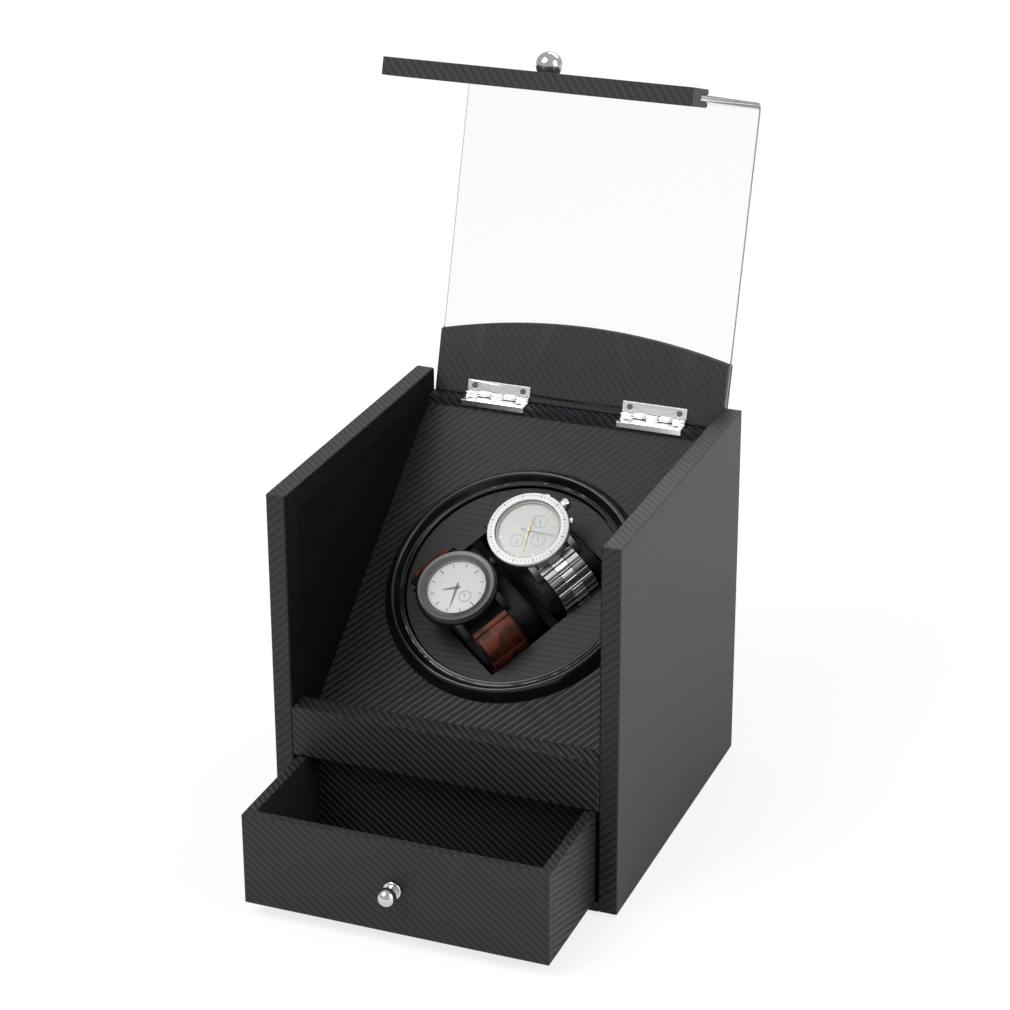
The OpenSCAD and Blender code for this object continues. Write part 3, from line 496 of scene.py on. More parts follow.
def rib_sum(shader, front, top, side, pitch):
    """Ribs counted along one direction on faces that look along Y, another on Z and another on X."""
    total = 0
    for axis, direction in enumerate((side, front, top)):
        weight = shader.part(shader.facing(), axis).math("ABSOLUTE").above(0.64)
        total = weight * shader.along(direction, pitch) + total
    return total


# ---------------------------------------------------------------- forms


class Shape:
    """Points and faces of a piece in the making; each face keeps the number of its finish."""

    def __init__(self):
        self.points = []
        self.faces = []
        self.finishes = []

    def add(self, form, place=HERE, finish=0):
        """Adds a form (points, faces), moved by place."""
        points, faces = form
        start = len(self.points)
        self.points += [place @ Vector(p) for p in points]
        self.faces += [tuple(start + i for i in face) for face in faces]
        self.finishes += [finish] * len(faces)
        return self


def prism(outline, low, high):
    """A straight prism on an outline of (x, y) points, from low to high along Z."""
    n = len(outline)
    points = [(x, y, z) for z in (low, high) for x, y in outline]
    faces = [tuple(reversed(range(n))), tuple(range(n, 2 * n))]
    faces += [(i, (i + 1) % n, n + (i + 1) % n, n + i) for i in range(n)]
    return points, faces


def brick(low, high):
    """A box between two corners."""
    outline = [(low[0], low[1]), (high[0], low[1]), (high[0], high[1]), (low[0], high[1])]
    return prism(outline, low[2], high[2])


def loft(rings, closed=False):
    """A skin over rings of equal length; closed joins the last ring to the first, else it has caps."""
    n = len(rings[0])
    points = [p for ring in rings for p in ring]
    faces = []
    for k in range(len(rings) if closed else len(rings) - 1):
        a = k * n
        b = (k + 1) % len(rings) * n
        faces += [(a + i, a + (i + 1) % n, b + (i + 1) % n, b + i) for i in range(n)]
    if not closed:
        faces += [tuple(reversed(range(n))), tuple(range(len(points) - n, len(points)))]
    return points, faces


def lathe(profile, steps, closed=False):
    """A profile of (radius, height) turned about Z: a ring if closed, else its ends lie on the axis."""
    angles = [math.tau * k / steps for k in range(steps)]
    rings = [[(r * math.cos(a), r * math.sin(a), z) for a in angles] for r, z in profile]
    return loft(rings, closed)


def arc(x, y, radius, start, end, steps):
    """Points of a circular arc between two angles in degrees."""
    turns = [math.radians(start + (end - start) * k / steps) for k in range(steps + 1)]
    return [(x + radius * math.cos(a), y + radius * math.sin(a)) for a in turns]


def curve_through(points, steps):
    """A smooth line through points, by Catmull-Rom pieces."""
    line = [points[0], *points, points[-1]]
    made = []
    for k in range(1, len(line) - 2):
        p0, p1, p2, p3 = (Vector(p) for p in line[k - 1:k + 3])
        for i in range(steps):
            t = i / steps
            value = p1 * 2 + (p2 - p0) * t + (p0 * 2 - p1 * 5 + p2 * 4 - p3) * t ** 2
            value += (p1 * 3 - p0 - p2 * 3 + p3) * t ** 3
            made.append(tuple(value / 2))
    return [*made, tuple(points[-1])]


def rounded_outline(low, high, radius, steps):
    """A rectangle between two (x, y) corners with round corners."""
    x0, y0 = low
    x1, y1 = high
    r = radius
    return [
        *arc(x1 - r, y1 - r, r, 0, 90, steps), *arc(x0 + r, y1 - r, r, 90, 180, steps),
        *arc(x0 + r, y0 + r, r, 180, 270, steps), *arc(x1 - r, y0 + r, r, 270, 360, steps),
    ]


ACROSS = Matrix(((0, 0, 1, 0), (1, 0, 0, 0), (0, 1, 0, 0), (0, 0, 0, 1)))


def moved(form, place):
    """A form (points, faces) moved by a matrix."""
    points, faces = form
    return [tuple(place @ Vector(p)) for p in points], faces


def across(outline, low, high):
    """A prism across X on an outline of (y, z) points."""
    return moved(prism(outline, low, high), ACROSS)


def local_box(node, place):
    """Lowest and highest corner of a frame node in the frame of place, in millimetres."""
    back = place.inverted()
    points = [back @ (v.co / MM) for v in frame["nodes"][node].data.vertices]
    return Vector(map(min, zip(*points))), Vector(map(max, zip(*points)))


def crease(mesh, angle):
    """Smooth shading everywhere but on edges sharper than angle degrees."""
    for face in mesh.polygons:
        face.use_smooth = True
    mesh.set_sharp_from_angle(angle=math.radians(angle))


def round_edges(piece, edge, segments, angle):
    """Rounds the arrises sharper than angle degrees and keeps the flats flat."""
    bevel = piece.modifiers.new("Edges", "BEVEL")
    bevel.width = edge * MM
    bevel.segments = segments
    bevel.limit_method = "ANGLE"
    bevel.angle_limit = math.radians(angle)
    bevel.harden_normals = True
    bevel.use_clamp_overlap = True


def dress(node, finish, edge, segments=3, angle=35):
    """Gives a frame node its finish and worn arrises."""
    piece = frame["nodes"][node]
    piece.data.materials.clear()
    piece.data.materials.append(finish)
    weld = piece.modifiers.new("Weld", "WELD")
    weld.merge_threshold = 1e-6
    round_edges(piece, edge, segments, angle)


def dress_all(nodes, finish, edge, segments=3, angle=35):
    """The same finish on several frame nodes."""
    for node in nodes:
        dress(node, finish, edge, segments, angle)


def make_piece(name, shape, finishes, body, nodes=(), edge=0.0, segments=2, angle=35):
    """Makes one piece from a shape: welded, faces outward, edges rounded, riding its body."""
    mesh = bpy.data.meshes.new(name)
    mesh.from_pydata([tuple(p * MM) for p in shape.points], [], shape.faces)
    for face, finish in zip(mesh.polygons, shape.finishes):
        face.material_index = finish
    work = bmesh.new()
    work.from_mesh(mesh)
    bmesh.ops.remove_doubles(work, verts=work.verts, dist=1e-7)
    bmesh.ops.dissolve_degenerate(work, edges=work.edges, dist=1e-8)
    bmesh.ops.recalc_face_normals(work, faces=work.faces)
    work.to_mesh(mesh)
    work.free()
    for finish in finishes:
        mesh.materials.append(finish)
    crease(mesh, angle)
    piece = bpy.data.objects.new(name, mesh)
    bpy.context.scene.collection.objects.link(piece)
    if edge:
        round_edges(piece, edge, segments, angle)
    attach(piece, body)
    if nodes:
        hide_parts(*nodes)
    return piece


# ---------------------------------------------------------------- cabinet

INNER = node_box("base_board")[1].x
FRONT, BACK = node_box("side_panel_right")[0].y, node_box("side_panel_right")[1].y
TOP = node_box("side_panel_right")[1].z
LEDGE = node_box("back_panel")[1].z
AXIS = Vector(joint("turntable_spin")["axis"])
SLOPE_UP = Vector((0, AXIS.z, -AXIS.y))


def ribs_and_threads(shader, front, top, side):
    """The twill's broad ribs and the fine threads across them, each 0 to 1."""
    pitch = bpy.context.scene.winder_box.rib_pitch
    sway = shader.noise(26, 1.0) * 0.25
    ridge = (rib_sum(shader, front, top, side, pitch) + sway).wave().ramp(0.1, 0.7)
    steps = rib_sum(shader, turned(front), turned(top), turned(side), 1.15)
    return ridge, (steps + ridge * 0.45).wave()


def turned(direction):
    """A direction across the given one, in the same face, slightly off square."""
    x, y, z = direction
    if not y:
        return (-z, 0, x * 1.15)
    if not z:
        return (-y, x * 1.15, 0)
    if not x:
        return (0, -0.5, 1)
    return (-1.2 * x, y, z)


def wrapped(
    shader, front, top, side, contrast=1.0, shade_of=1.0, gloss=0.36, dim=0.0, calm=None, warmth=0.0
):
    """Twill leatherette of a wrapped board, its ribs laid along each face's own direction.

    Faces that look along X towards the side whose sign is given are darker: painted shade, as the inner
    sides of a box lie in shade.
    Between two given heights the ribs flatten and the colour is lifted towards a set tone; the lift is
    painted light on the upper part of a board.
    Each piece's colour is scaled by a share of its own: painted light and painted shade on lit and shaded
    copies of one leatherette.
    Warmth takes the blue out of the colour.
    """
    # The colour scaled for this piece: painted light above one and painted shade below one.
    red, green, blue = lighten(tuple(bpy.context.scene.winder_box.twill_colour), shade_of)
    colour = (red * (1 + warmth * 0.7), green, blue * (1 - warmth))
    ridge, threads = ribs_and_threads(shader, front, top, side)
    # Painted light: between two heights the ribs flatten and the colour is lifted on the upper board.
    if calm:
        lit_flat_share = shader.part(shader.position(), 2).ramp(*calm)
        ridge = ridge * (1 - lit_flat_share * 0.6) + lit_flat_share * 0.38
    grain = shader.noise(0.35, 2.0)
    worn = shader.noise(38).ramp(0.35, 0.75)
    tone = (ridge * 0.75 + threads * ridge * 0.25) * contrast + (1 - contrast) * 0.4
    shade = shader.vary(tone.clamped(), colour, 0.16, 2.35)
    shade = shader.mix(worn * 0.2, shade, lighten(colour, 1.7))
    rough = 0.54 - ridge * (0.12 * contrast) + grain * 0.1
    # Painted shade: faces turned to the given side are darkened, as the inner walls of a box lie in shade.
    if dim:
        inner = (shader.part(shader.facing(), 0) * dim).above(0.6)
        shade = shader.mix(inner * 0.85, shade, lighten(colour, 0.2))
        rough = rough + inner * 0.3
    relief = ridge + threads * ridge * 0.15 + grain * 0.15
    shader.surface(
        colour=shade, rough=rough, specular=gloss, normal=shader.bump(relief, 0.34 * contrast, 0.9)
    )


def side_board(shader, outward):
    """A side panel: plain grain on its outer face and twill on its edges and inner face."""
    box = bpy.context.scene.winder_box
    colour = tuple(box.twill_colour)
    plain = tuple(box.grain_colour)
    outer = (shader.part(shader.facing(), 0) * outward).above(0.6)
    ridge, threads = ribs_and_threads(shader, PANEL_EDGE, CHEVRON, PANEL_INNER)
    pebbles = shader.cells(0.9).ramp(0.02, 0.35)
    fine = shader.noise(0.4)
    clouds = shader.noise(30)
    grained = shader.vary(pebbles * 0.4 + clouds * 0.4, plain, 0.8, 1.25)
    # Faces that look up, the panels' top edges, get fainter ribs and a set tone a little darker than the
    # sides: painted shade.
    edge = shader.part(shader.facing(), 2).above(0.5)
    tone = (ridge * 0.6 + threads * ridge * 0.15) * (1 - edge * 0.6) + edge * 0.12 + 0.06
    twilled = shader.vary(tone, colour, 0.13, 1.3)
    weave = (ridge + threads * 0.15) * (0.8 - edge * 0.5)
    relief = outer * (pebbles * 0.3 + fine * 0.25) + (1 - outer) * weave
    rough = outer * (0.47 + fine * 0.14) + (1 - outer) * (0.54 - ridge * 0.1)
    shader.surface(
        colour=shader.mix(outer, twilled, grained), rough=rough, specular=0.4,
        normal=shader.bump(relief, 0.24, 0.85),
    )


DOWN_RIGHT = (0.8, 0, 1)
CHEVRON = (1, 1, 0)
UP_RIGHT = (-1.2, SLOPE_UP.y, SLOPE_UP.z)
PANEL_EDGE = (-0.9, 0, 1)
PANEL_INNER = (0, 1, -0.8)
DRAWER_SIDE = (0, 0.3, 1)
LID_RIBS = tuple(LID.to_3x3() @ Vector((1, -0.8, 0)))
# Heights in metres of the painted light on the turntable board: its ribs flatten and its colour lifts
# between them.
LIT_FLAT_TOP = (0.095, 0.15)
LID_WARMTH = 0.18


def twill(side=DOWN_RIGHT, front=DOWN_RIGHT, top=CHEVRON, **options):
    """The leatherette of a board, its ribs laid as on most boards unless told otherwise."""
    return material(wrapped, front, top, side, **options)


def panel_flap(outward, name):
    """The wrap turned over onto a side panel's inner face: two strips that meet in a mitre."""
    box = bpy.context.scene.winder_box
    mitre_gap = 0.18
    margin = 0.5
    start, stop = FRONT + margin, BACK - margin
    inside = FRONT + box.flap_width + 1.2
    floor = node_box("base_board")[1].z
    ledge = LEDGE - 1.0
    crest = TOP - margin
    near = [(start, floor), (inside, floor), (inside, ledge), (start, crest - mitre_gap)]
    far = [(start + mitre_gap, crest), (inside + mitre_gap, ledge), (stop, ledge), (stop, crest)]
    shape = Shape()
    for outline in (near, far):
        shape.add(across(outline, INNER - box.flap_rise, INNER + 0.05))
    if outward < 0:
        shape.points = [Vector((-p.x, p.y, p.z)) for p in shape.points]
    # The turned-over wrap is scaled far down: painted shade inside the box.
    finish = twill(PANEL_INNER, contrast=0.25, shade_of=0.3, gloss=0.16)
    return make_piece(name, shape, [finish], "cabinet", edge=0.2)


class WINDER_OT_cabinet(bpy.types.Operator):
    """Covers the boards of the cabinet and lines its inner faces"""

    bl_idname = "winder.cabinet"
    bl_label = "Dress the cabinet"

    def execute(self, context):
        edge = context.scene.winder_box.edge_radius
        dress("side_panel_left", material(side_board, -1.0), edge)
        dress("side_panel_right", material(side_board, 1.0), edge)
        # The fascia's colour is scaled down: painted shade.
        dress("fascia_board", twill(contrast=1.25, shade_of=0.82), edge)
        dress("back_panel", twill(contrast=0.7), edge)
        # The board's upper part gets painted light.
        dress("turntable_board", twill(UP_RIGHT, UP_RIGHT, UP_RIGHT, calm=LIT_FLAT_TOP), 0.3)
        corner = (-INNER + 0.1, BACK - 8.6, LEDGE - 0.5)
        ledge = Shape().add(brick(corner, (INNER - 0.1, BACK - 0.06, LEDGE + 0.12)))
        make_piece("ledge_wrap", ledge, [twill(contrast=1.3)], "cabinet")
        dress_all(("base_board", "bay_shelf", "bay_back_board"), twill(contrast=0.4), 0.3)
        dress_all(("side_lining_left", "side_lining_right"), material(flock_lining), 0.15)
        dress("base_pad", material(rubber_pad), 0.4)
        panel_flap(-1, "side_wrap_left")
        panel_flap(1, "side_wrap_right")
        return {"FINISHED"}


# ---------------------------------------------------------------- drawer


class WINDER_OT_drawer(bpy.types.Operator):
    """Covers the drawer's walls and lines its floor"""

    bl_idname = "winder.drawer"
    bl_label = "Dress the drawer"

    def execute(self, context):
        edge = context.scene.winder_box.edge_radius
        dress("drawer_front", twill(DRAWER_SIDE, contrast=0.55), edge)
        # The drawer's back is scaled up: painted light on its inner face.
        dress("drawer_back", twill(DRAWER_SIDE, contrast=1.4, shade_of=1.2), edge)
        # The inner faces of the drawer's sides get painted shade.
        for side, inward in (("left", 1.0), ("right", -1.0)):
            dress("drawer_side_" + side, twill(DRAWER_SIDE, contrast=0.9, dim=inward), edge)
        dress("drawer_bottom", twill(contrast=0.4), 0.3)
        dress("drawer_lining", material(flock_lining), 0.2)
        dress("drawer_knob_screw", material(polished_steel), 0.1)
        return {"FINISHED"}


# ---------------------------------------------------------------- lid


def lid_sheet():
    """The clear sheet: folded once with a round bend, its edges lightly broken."""
    low, high = local_box("lid_window", LID)
    thick = 3.0
    bend = 1.5
    corner = (low.y + bend + thick, high.z - bend - thick)
    outline = [
        (low.y, low.z), (low.y + thick, low.z), *arc(*corner, bend, 180, 90, 10),
        (high.y, high.z - thick), (high.y, high.z), *arc(*corner, bend + thick, 90, 180, 14),
    ]
    shape = Shape().add(across(outline, low.x, high.x), LID)
    return make_piece(
        "lid_sheet", shape, [material(clear_sheet)], "lid", ("lid_window",), 0.28, 2, 40
    )


def lid_rail():
    """The grooved front rail: two rounded lips that hold the sheet."""
    low, high = local_box("lid_front_rail", LID)
    sheet_low = local_box("lid_window", LID)[0]
    floor = sheet_low.z - 0.1
    lip = (high.y - low.y - 3.0) / 2
    r = lip / 2
    outline = [
        (low.y, low.z), (high.y, low.z), *arc(high.y - r, high.z - r, r, 0, 180, 10),
        (high.y - lip, floor), (low.y + lip, floor), *arc(low.y + r, high.z - r, r, 0, 180, 10),
    ]
    shape = Shape().add(across(outline, low.x, high.x), LID)
    # The rail's colour is scaled up: painted light.
    finish = twill((0, 1, 0.3), LID_RIBS, LID_RIBS, contrast=0.4, shade_of=1.5, warmth=LID_WARMTH)
    return make_piece("lid_rail", shape, [finish], "lid", ("lid_front_rail",), 0.5, 3, 40)


class WINDER_OT_lid(bpy.types.Operator):
    """Makes the clear lid, its front rail and its hinge boards"""

    bl_idname = "winder.lid"
    bl_label = "Build the lid"

    def execute(self, context):
        lid_sheet()
        lid_rail()
        ribs = (DOWN_RIGHT, LID_RIBS, LID_RIBS)
        # The hinge boards' colour is scaled up twofold: painted light.
        finish = twill(*ribs, contrast=0.18, shade_of=2.0, warmth=LID_WARMTH)
        dress_all(("lid_hinge_board_inner", "lid_hinge_board_outer"), finish, 0.6)
        return {"FINISHED"}


# ---------------------------------------------------------------- knobs and hinges


def knob(name, node, screw_body, place):
    """A turned knob along local -Y: a ball on a foot and neck, or cut flat where it is seated directly."""
    low, high = local_box(node, place)
    length = high.y - low.y
    ball = (high.x - low.x) / 2
    foot = local_box("drawer_knob", HERE)[1].x
    thick = foot * 0.45
    neck = foot * 0.62
    rise = length - ball
    profile = [(0, 0)]
    if rise > ball:
        profile += [(foot * 0.9, 0), *arc(foot - 0.6, 0.6, 0.6, -70, 0, 5)]
        profile += arc(foot - 0.7, thick - 0.7, 0.7, 0, 80, 6)
        profile += [(neck + 0.3, thick + 0.05), (neck, thick + 0.35)]
        meets = neck
    else:
        meets = math.sqrt(ball ** 2 - rise ** 2)
    profile += arc(0, rise, ball, -math.degrees(math.acos(meets / ball)), 90, 28)
    profile[-1] = (0, length)
    middle = Vector(((low.x + high.x) / 2, high.y, (low.z + high.z) / 2))
    turn = place @ Matrix.Translation(middle) @ turn_about("X", 90)
    shape = Shape().add(lathe(profile, 72), turn)
    return make_piece(name, shape, [material(chrome)], screw_body, (node,), angle=40)


class WINDER_OT_knobs(bpy.types.Operator):
    """Makes the two chrome ball knobs"""

    bl_idname = "winder.knobs"
    bl_label = "Build the knobs"

    def execute(self, context):
        knob("drawer_ball_knob", "drawer_knob", "drawer", HERE)
        knob("lid_ball_knob", "lid_knob", "lid", LID)
        dress("lid_knob_screw", material(polished_steel), 0.1)
        return {"FINISHED"}


class WINDER_OT_hinges(bpy.types.Operator):
    """Plates the hinges and their screws"""

    bl_idname = "winder.hinges"
    bl_label = "Dress the hinges"

    def execute(self, context):
        dress_all(("hinge_lid_leaves", "hinge_body_leaves"), material(polished_steel), 0.15, 2, 40)
        dress_all(("hinge_lid_screws", "hinge_body_screws"), material(dark_screw), 0.05, 1, 40)
        dress("hinge_pins", material(polished_steel), 0.1, 2, 40)
        return {"FINISHED"}


# ---------------------------------------------------------------- turntable


def bezel():
    """The stepped gloss ring around the turntable: rounded crest, sloping wall and inner bead."""
    low, high = local_box("bezel_ring", TABLE)
    out = high.x
    inner = local_box("turntable_plate", TABLE)[1].x + 0.6
    top = high.z
    crest = out - 4.4
    foot = [(inner, low.z), (crest, low.z), (crest, 0), (out, 0)]
    outer_wall = [(1, 0.16), (0.7, 0.5), (0.34, 0.85), (0.14, 0.97), (0, 1)]
    inner_wall = [(0.88, 0.97), (0.75, 0.84), (0.45, 0.42), (0.38, 0.38)]
    bead = [(0.24, 0.38), (0.2, 0.48), (0.04, 0.48), (0, 0.44)]
    rim = [(crest + (out - crest) * share, top * rise) for share, rise in outer_wall]
    rim += [(inner + (crest - inner) * share, top * rise) for share, rise in inner_wall]
    lip = [(inner + (crest - inner) * share, top * rise) for share, rise in bead]
    shape = Shape().add(lathe([*foot, *curve_through(rim, 6), *lip], 192, closed=True), TABLE)
    return make_piece(
        "gloss_bezel", shape, [material(gloss_ring)], "cabinet", ("bezel_ring",), 0.12, 3, 38
    )


class WINDER_OT_turntable(bpy.types.Operator):
    """Makes the gloss ring and covers the turntable"""

    bl_idname = "winder.turntable"
    bl_label = "Build the turntable"

    def execute(self, context):
        bezel()
        dress("turntable_plate", material(table_face), 0.5)
        dress("turntable_wells", material(flock_lining), 0.3)
        # A strip of dark flock laid over the plate between the two wells: painted shade between the
        # cushions.
        low, high = local_box("cushion_right", TABLE)
        face = local_box("turntable_plate", TABLE)[1].z
        half = (low.x - local_box("cushion_left", TABLE)[1].x) / 2 + 0.6
        length = high.y + 4.2
        strip = Shape().add(brick((-half, -length, face - 3.2), (half, length, face + 0.08)), TABLE)
        lining = [material(flock_lining)]
        make_piece("well_divider_shade_strip", strip, lining, "turntable", edge=0.3)
        return {"FINISHED"}


class WINDER_OT_drive(bpy.types.Operator):
    """Gives the hidden drive its metals"""

    bl_idname = "winder.drive"
    bl_label = "Dress the drive"

    def execute(self, context):
        brass = material(plain_metal, (0.62, 0.44, 0.16), 0.28)
        steel = material(plain_metal, (0.5, 0.5, 0.51), 0.25)
        dress_all(("turntable_gear", "motor_pinion"), brass, 0.05, 1)
        dress_all(("drive_posts", "plate_spacers", "spindle_bushes"), brass, 0.2, 2)
        dress_all(("drive_front_plate", "drive_back_plate"), steel, 0.25, 2)
        dress_all(("spindle", "gear_motor", "drive_screws", "board_spacers"), steel, 0.2, 2)
        return {"FINISHED"}


class WINDER_OT_power(bpy.types.Operator):
    """Finishes the inlet, the switch and the circuit board"""

    bl_idname = "winder.power"
    bl_label = "Dress the power parts"

    def execute(self, context):
        moulding = material(moulded_plastic, (0.012, 0.012, 0.013), 0.38)
        dress_all(("power_inlet", "switch_housing"), moulding, 0.3)
        dress("switch_rocker", material(moulded_plastic, (0.02, 0.02, 0.021), 0.26), 0.3)
        dress("circuit_board", material(circuit_lacquer), 0.1, 1)
        return {"FINISHED"}


# ---------------------------------------------------------------- cushions


def centred_place(node):
    """The turntable's frame moved to the middle of a node."""
    low, high = local_box(node, TABLE)
    return TABLE @ Matrix.Translation(((low.x + high.x) / 2, (low.y + high.y) / 2, 0))


def block_distance(y, z, half_y, low, high, radius):
    """Signed distance from a rounded rectangle, and the outward direction."""
    middle = (low + high) / 2
    dy = abs(y) - (half_y - radius)
    dz = abs(z - middle) - ((high - low) / 2 - radius)
    out = Vector((max(dy, 0), max(dz, 0)))
    if out.length > 0:
        away = out.normalized()
    else:
        away = Vector((1, 0)) if dy > dz else Vector((0, 1))
    distance = out.length + min(max(dy, dz), 0) - radius
    return distance, Vector((math.copysign(away.x, y), math.copysign(away.y, z - middle)))


def cushion(name, node, strap_node, body):
    """A padded cushion: a smaller block is swelled by cloth pressure and held in by its strap and well."""
    table = bpy.context.scene.winder_table
    place = centred_place(node)
    low, high = local_box(node, place)
    strap_low, strap_high = local_box(strap_node, place)
    strap_half = (strap_high.x - strap_low.x) / 2 + 0.4
    strap_middle = (strap_high.x + strap_low.x) / 2
    radius = 11.0
    shrink = table.cushion_start
    corner = (high.y - shrink, high.z - shrink)
    outline = rounded_outline((-corner[0], low.z + shrink), corner, radius - shrink, 8)
    half_x = high.x - shrink
    slices = 10
    rings = []
    for k in range(slices + 1):
        x = -half_x + 2 * half_x * k / slices
        rings.append([(x, y, z) for y, z in outline])
    shape = Shape().add(loft(rings))
    piece = make_piece(name, shape, [material(cushion_cover)], body, (node,))
    piece.parent = None
    piece.matrix_world = HERE
    remesh = piece.modifiers.new("Remesh", "REMESH")
    remesh.mode = "VOXEL"
    remesh.voxel_size = 0.0032
    settle(piece)
    swell(piece)
    strap_dent = 0.12
    rise_width = 2.6
    end_width = 5.0
    end_pull = 1.6
    side_room = high.x + 0.45
    for vertex in piece.data.vertices:
        point = vertex.co / MM
        beside = max(abs(point.x - strap_middle) - strap_half, 0) / rise_width
        room = table.cushion_growth * min(beside, 1.0) - strap_dent
        point.x = max(-side_room, min(side_room, point.x))
        near_end = max(abs(point.x) - (high.x - end_width), 0) / end_width
        room -= near_end ** 2 * end_pull
        distance, away = block_distance(point.y, point.z, high.y, low.z, high.z, radius)
        if distance > room:
            point.y -= away.x * (distance - room)
            point.z -= away.y * (distance - room)
        vertex.co = place @ point * MM
    smooth = piece.modifiers.new("Smooth", "SUBSURF")
    smooth.levels = 1
    smooth.render_levels = 1
    settle(piece)
    crease(piece.data, 60)
    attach(piece, body)
    return piece


def settle(piece):
    """Applies every modifier of a piece to its mesh."""
    graph = bpy.context.evaluated_depsgraph_get()
    mesh = bpy.data.meshes.new_from_object(piece.evaluated_get(graph))
    piece.modifiers.clear()
    piece.data = mesh


def swell(piece):
    """Cloth pressure from inside for a number of frames."""
    frames = 20
    cloth = piece.modifiers.new("Cloth", "CLOTH")
    cloth.settings.use_pressure = True
    cloth.settings.uniform_pressure_force = 4
    cloth.settings.effector_weights.gravity = 0
    cloth.settings.mass = 0.3
    cloth.settings.tension_stiffness = 15
    cloth.point_cache.frame_start = 1
    cloth.point_cache.frame_end = frames
    scene = bpy.context.scene
    for step in range(1, frames + 1):
        scene.frame_set(step)
    settle(piece)
    scene.frame_set(1)


class WINDER_OT_cushions(bpy.types.Operator):
    """Swells the two cushions into their wells"""

    bl_idname = "winder.cushions"
    bl_label = "Build the cushions"

    def execute(self, context):
        cushion("steel_watch_cushion", "cushion_right", "steel_watch_bracelet", "steel_watch")
        cushion("leather_watch_cushion", "cushion_left", "leather_watch_strap", "leather_watch")
        return {"FINISHED"}


# ---------------------------------------------------------------- watches


def heading(angle):
    """Unit vector at an angle in degrees."""
    return Vector((math.cos(math.radians(angle)), math.sin(math.radians(angle))))


def loop_point(length, half_y, low, high, radius):
    """Place on a rounded rectangle, from the middle of its top towards +Y, and its outward angle."""
    flat_y = half_y - radius
    flat_z = (high - low) / 2 - radius
    bend = radius * math.pi / 2
    runs = [flat_y, bend, 2 * flat_z, bend, 2 * flat_y, bend, 2 * flat_z, bend, flat_y]
    length %= sum(runs)
    head, foot = high - radius, low + radius
    corners = [(flat_y, head), (flat_y, foot), (-flat_y, foot), (-flat_y, head)]
    if length <= runs[0]:
        return Vector((length, high)), 90.0
    length -= runs[0]
    for n, (y, z) in enumerate(corners):
        if length <= bend:
            angle = 90 * (1 - n) - math.degrees(length / radius)
            return Vector((y, z)) + heading(angle) * radius, angle
        length -= bend
        straight = runs[2 * n + 2]
        angle = -90.0 * n
        out = heading(angle)
        if length <= straight:
            along = Vector((out.y, -out.x))
            return Vector((y, z)) + out * radius + along * length, angle
        length -= straight
    return Vector((0, high)), 90.0


def loop_length(half_y, low, high, radius):
    """Length once round a rounded rectangle."""
    return 4 * (half_y - radius) + 2 * (high - low - 2 * radius) + math.tau * radius


def on_loop(length, loop):
    """Matrix that stands a small part on a strap's loop: X across, Y along, Z outward."""
    point, angle = loop_point(length, *loop)
    return Matrix.Translation((0, point.x, point.y)) @ turn_about("X", angle - 90)


def strap_loop(node, pad_node, place, thick):
    """Middle line of a strap round its cushion: half length, bottom, top and corner radius."""
    low, high = local_box(node, place)
    pad_low, pad_high = local_box(pad_node, place)
    top = pad_high.z + pad_low.z - low.z
    return high.y - thick / 2, low.z + thick / 2, top - thick / 2, 11.3 + thick / 2


def bracelet(place):
    """A link bracelet around the cushion: satin outer links, polished bars between them and centre links."""
    half = local_box("steel_watch_bracelet", place)[1].x
    loop = strap_loop("steel_watch_bracelet", "cushion_right", place, 2.6)
    case_low, case_high = local_box("steel_watch_case", place)
    start = case_high.y - 1.5
    run = loop_length(*loop) - start + case_low.y + 1.5
    count = round(run / 8.2)
    pitch = run / count
    centre = 3.3
    shape = Shape()

    def link(at, length, left, right, crown, finish):
        """One link piece on the loop: its middle, its length along it and its edges across."""
        outline = rounded_outline((-length / 2, -1.15), (length / 2, crown), 0.5, 3)
        shape.add(across(outline, left, right), place @ on_loop(at, loop), finish)

    polished, satin = 0, 1
    for k in range(count):
        at = start + (k + 0.5) * pitch
        for part in (-0.22, 0.22):
            link(at + part * pitch, pitch * 0.4, -half, -centre - 0.2, 1.1, satin)
            link(at + part * pitch, pitch * 0.4, centre + 0.2, half, 1.1, satin)
        for part in (-0.21, 0.21):
            link(at + part * pitch, pitch * 0.36, -centre, centre, 1.28, polished)
        link(at + 0.5 * pitch, pitch * 0.11, -half, half, 1.22, polished)
    finishes = [material(polished_steel), material(brushed_steel, (0.2, 1, 1))]
    return make_piece(
        "steel_link_bracelet", shape, finishes, "steel_watch",
        ("steel_watch_bracelet",), 0.18,
    )


def ring_form(outer, inner, low, high, edge):
    """A flat ring with broken edges."""
    ease = edge * 0.4
    profile = [
        (inner, low), (outer, low), (outer, high - edge), (outer - edge, high), (inner + ease, high),
        (inner, high - ease),
    ]
    return lathe(profile, 120, closed=True)


def disc_form(radius, low, high):
    """A flat disc."""
    return lathe([(0, low), (radius, low), (radius, high), (0, high)], 96)


def dial_bar(outline, low, high, angle):
    """A flat bar turned to its place on a dial; angle is in clock degrees."""
    return moved(prism(outline, low, high), turn_about("Z", -angle))


def mark(radius, length, width, angle, level, rise):
    """A bar that points to the dial's middle, its outer end at radius and its top rise above the dial."""
    half = width / 2
    start = radius - length
    outline = [(-half, start), (half, start), (half, radius), (-half, radius)]
    return dial_bar(outline, level - 0.05, level + rise, angle)


def hand(length, tail, width, angle, low, thick):
    """A tapering hand."""
    half = width / 2
    end = width * 0.4
    tip = 0.08
    wide = length * 0.25
    outline = [(-end, -tail), (end, -tail), (half, wide), (tip, length), (-tip, length), (-half, wide)]
    return dial_bar(outline, low, low + thick, angle)


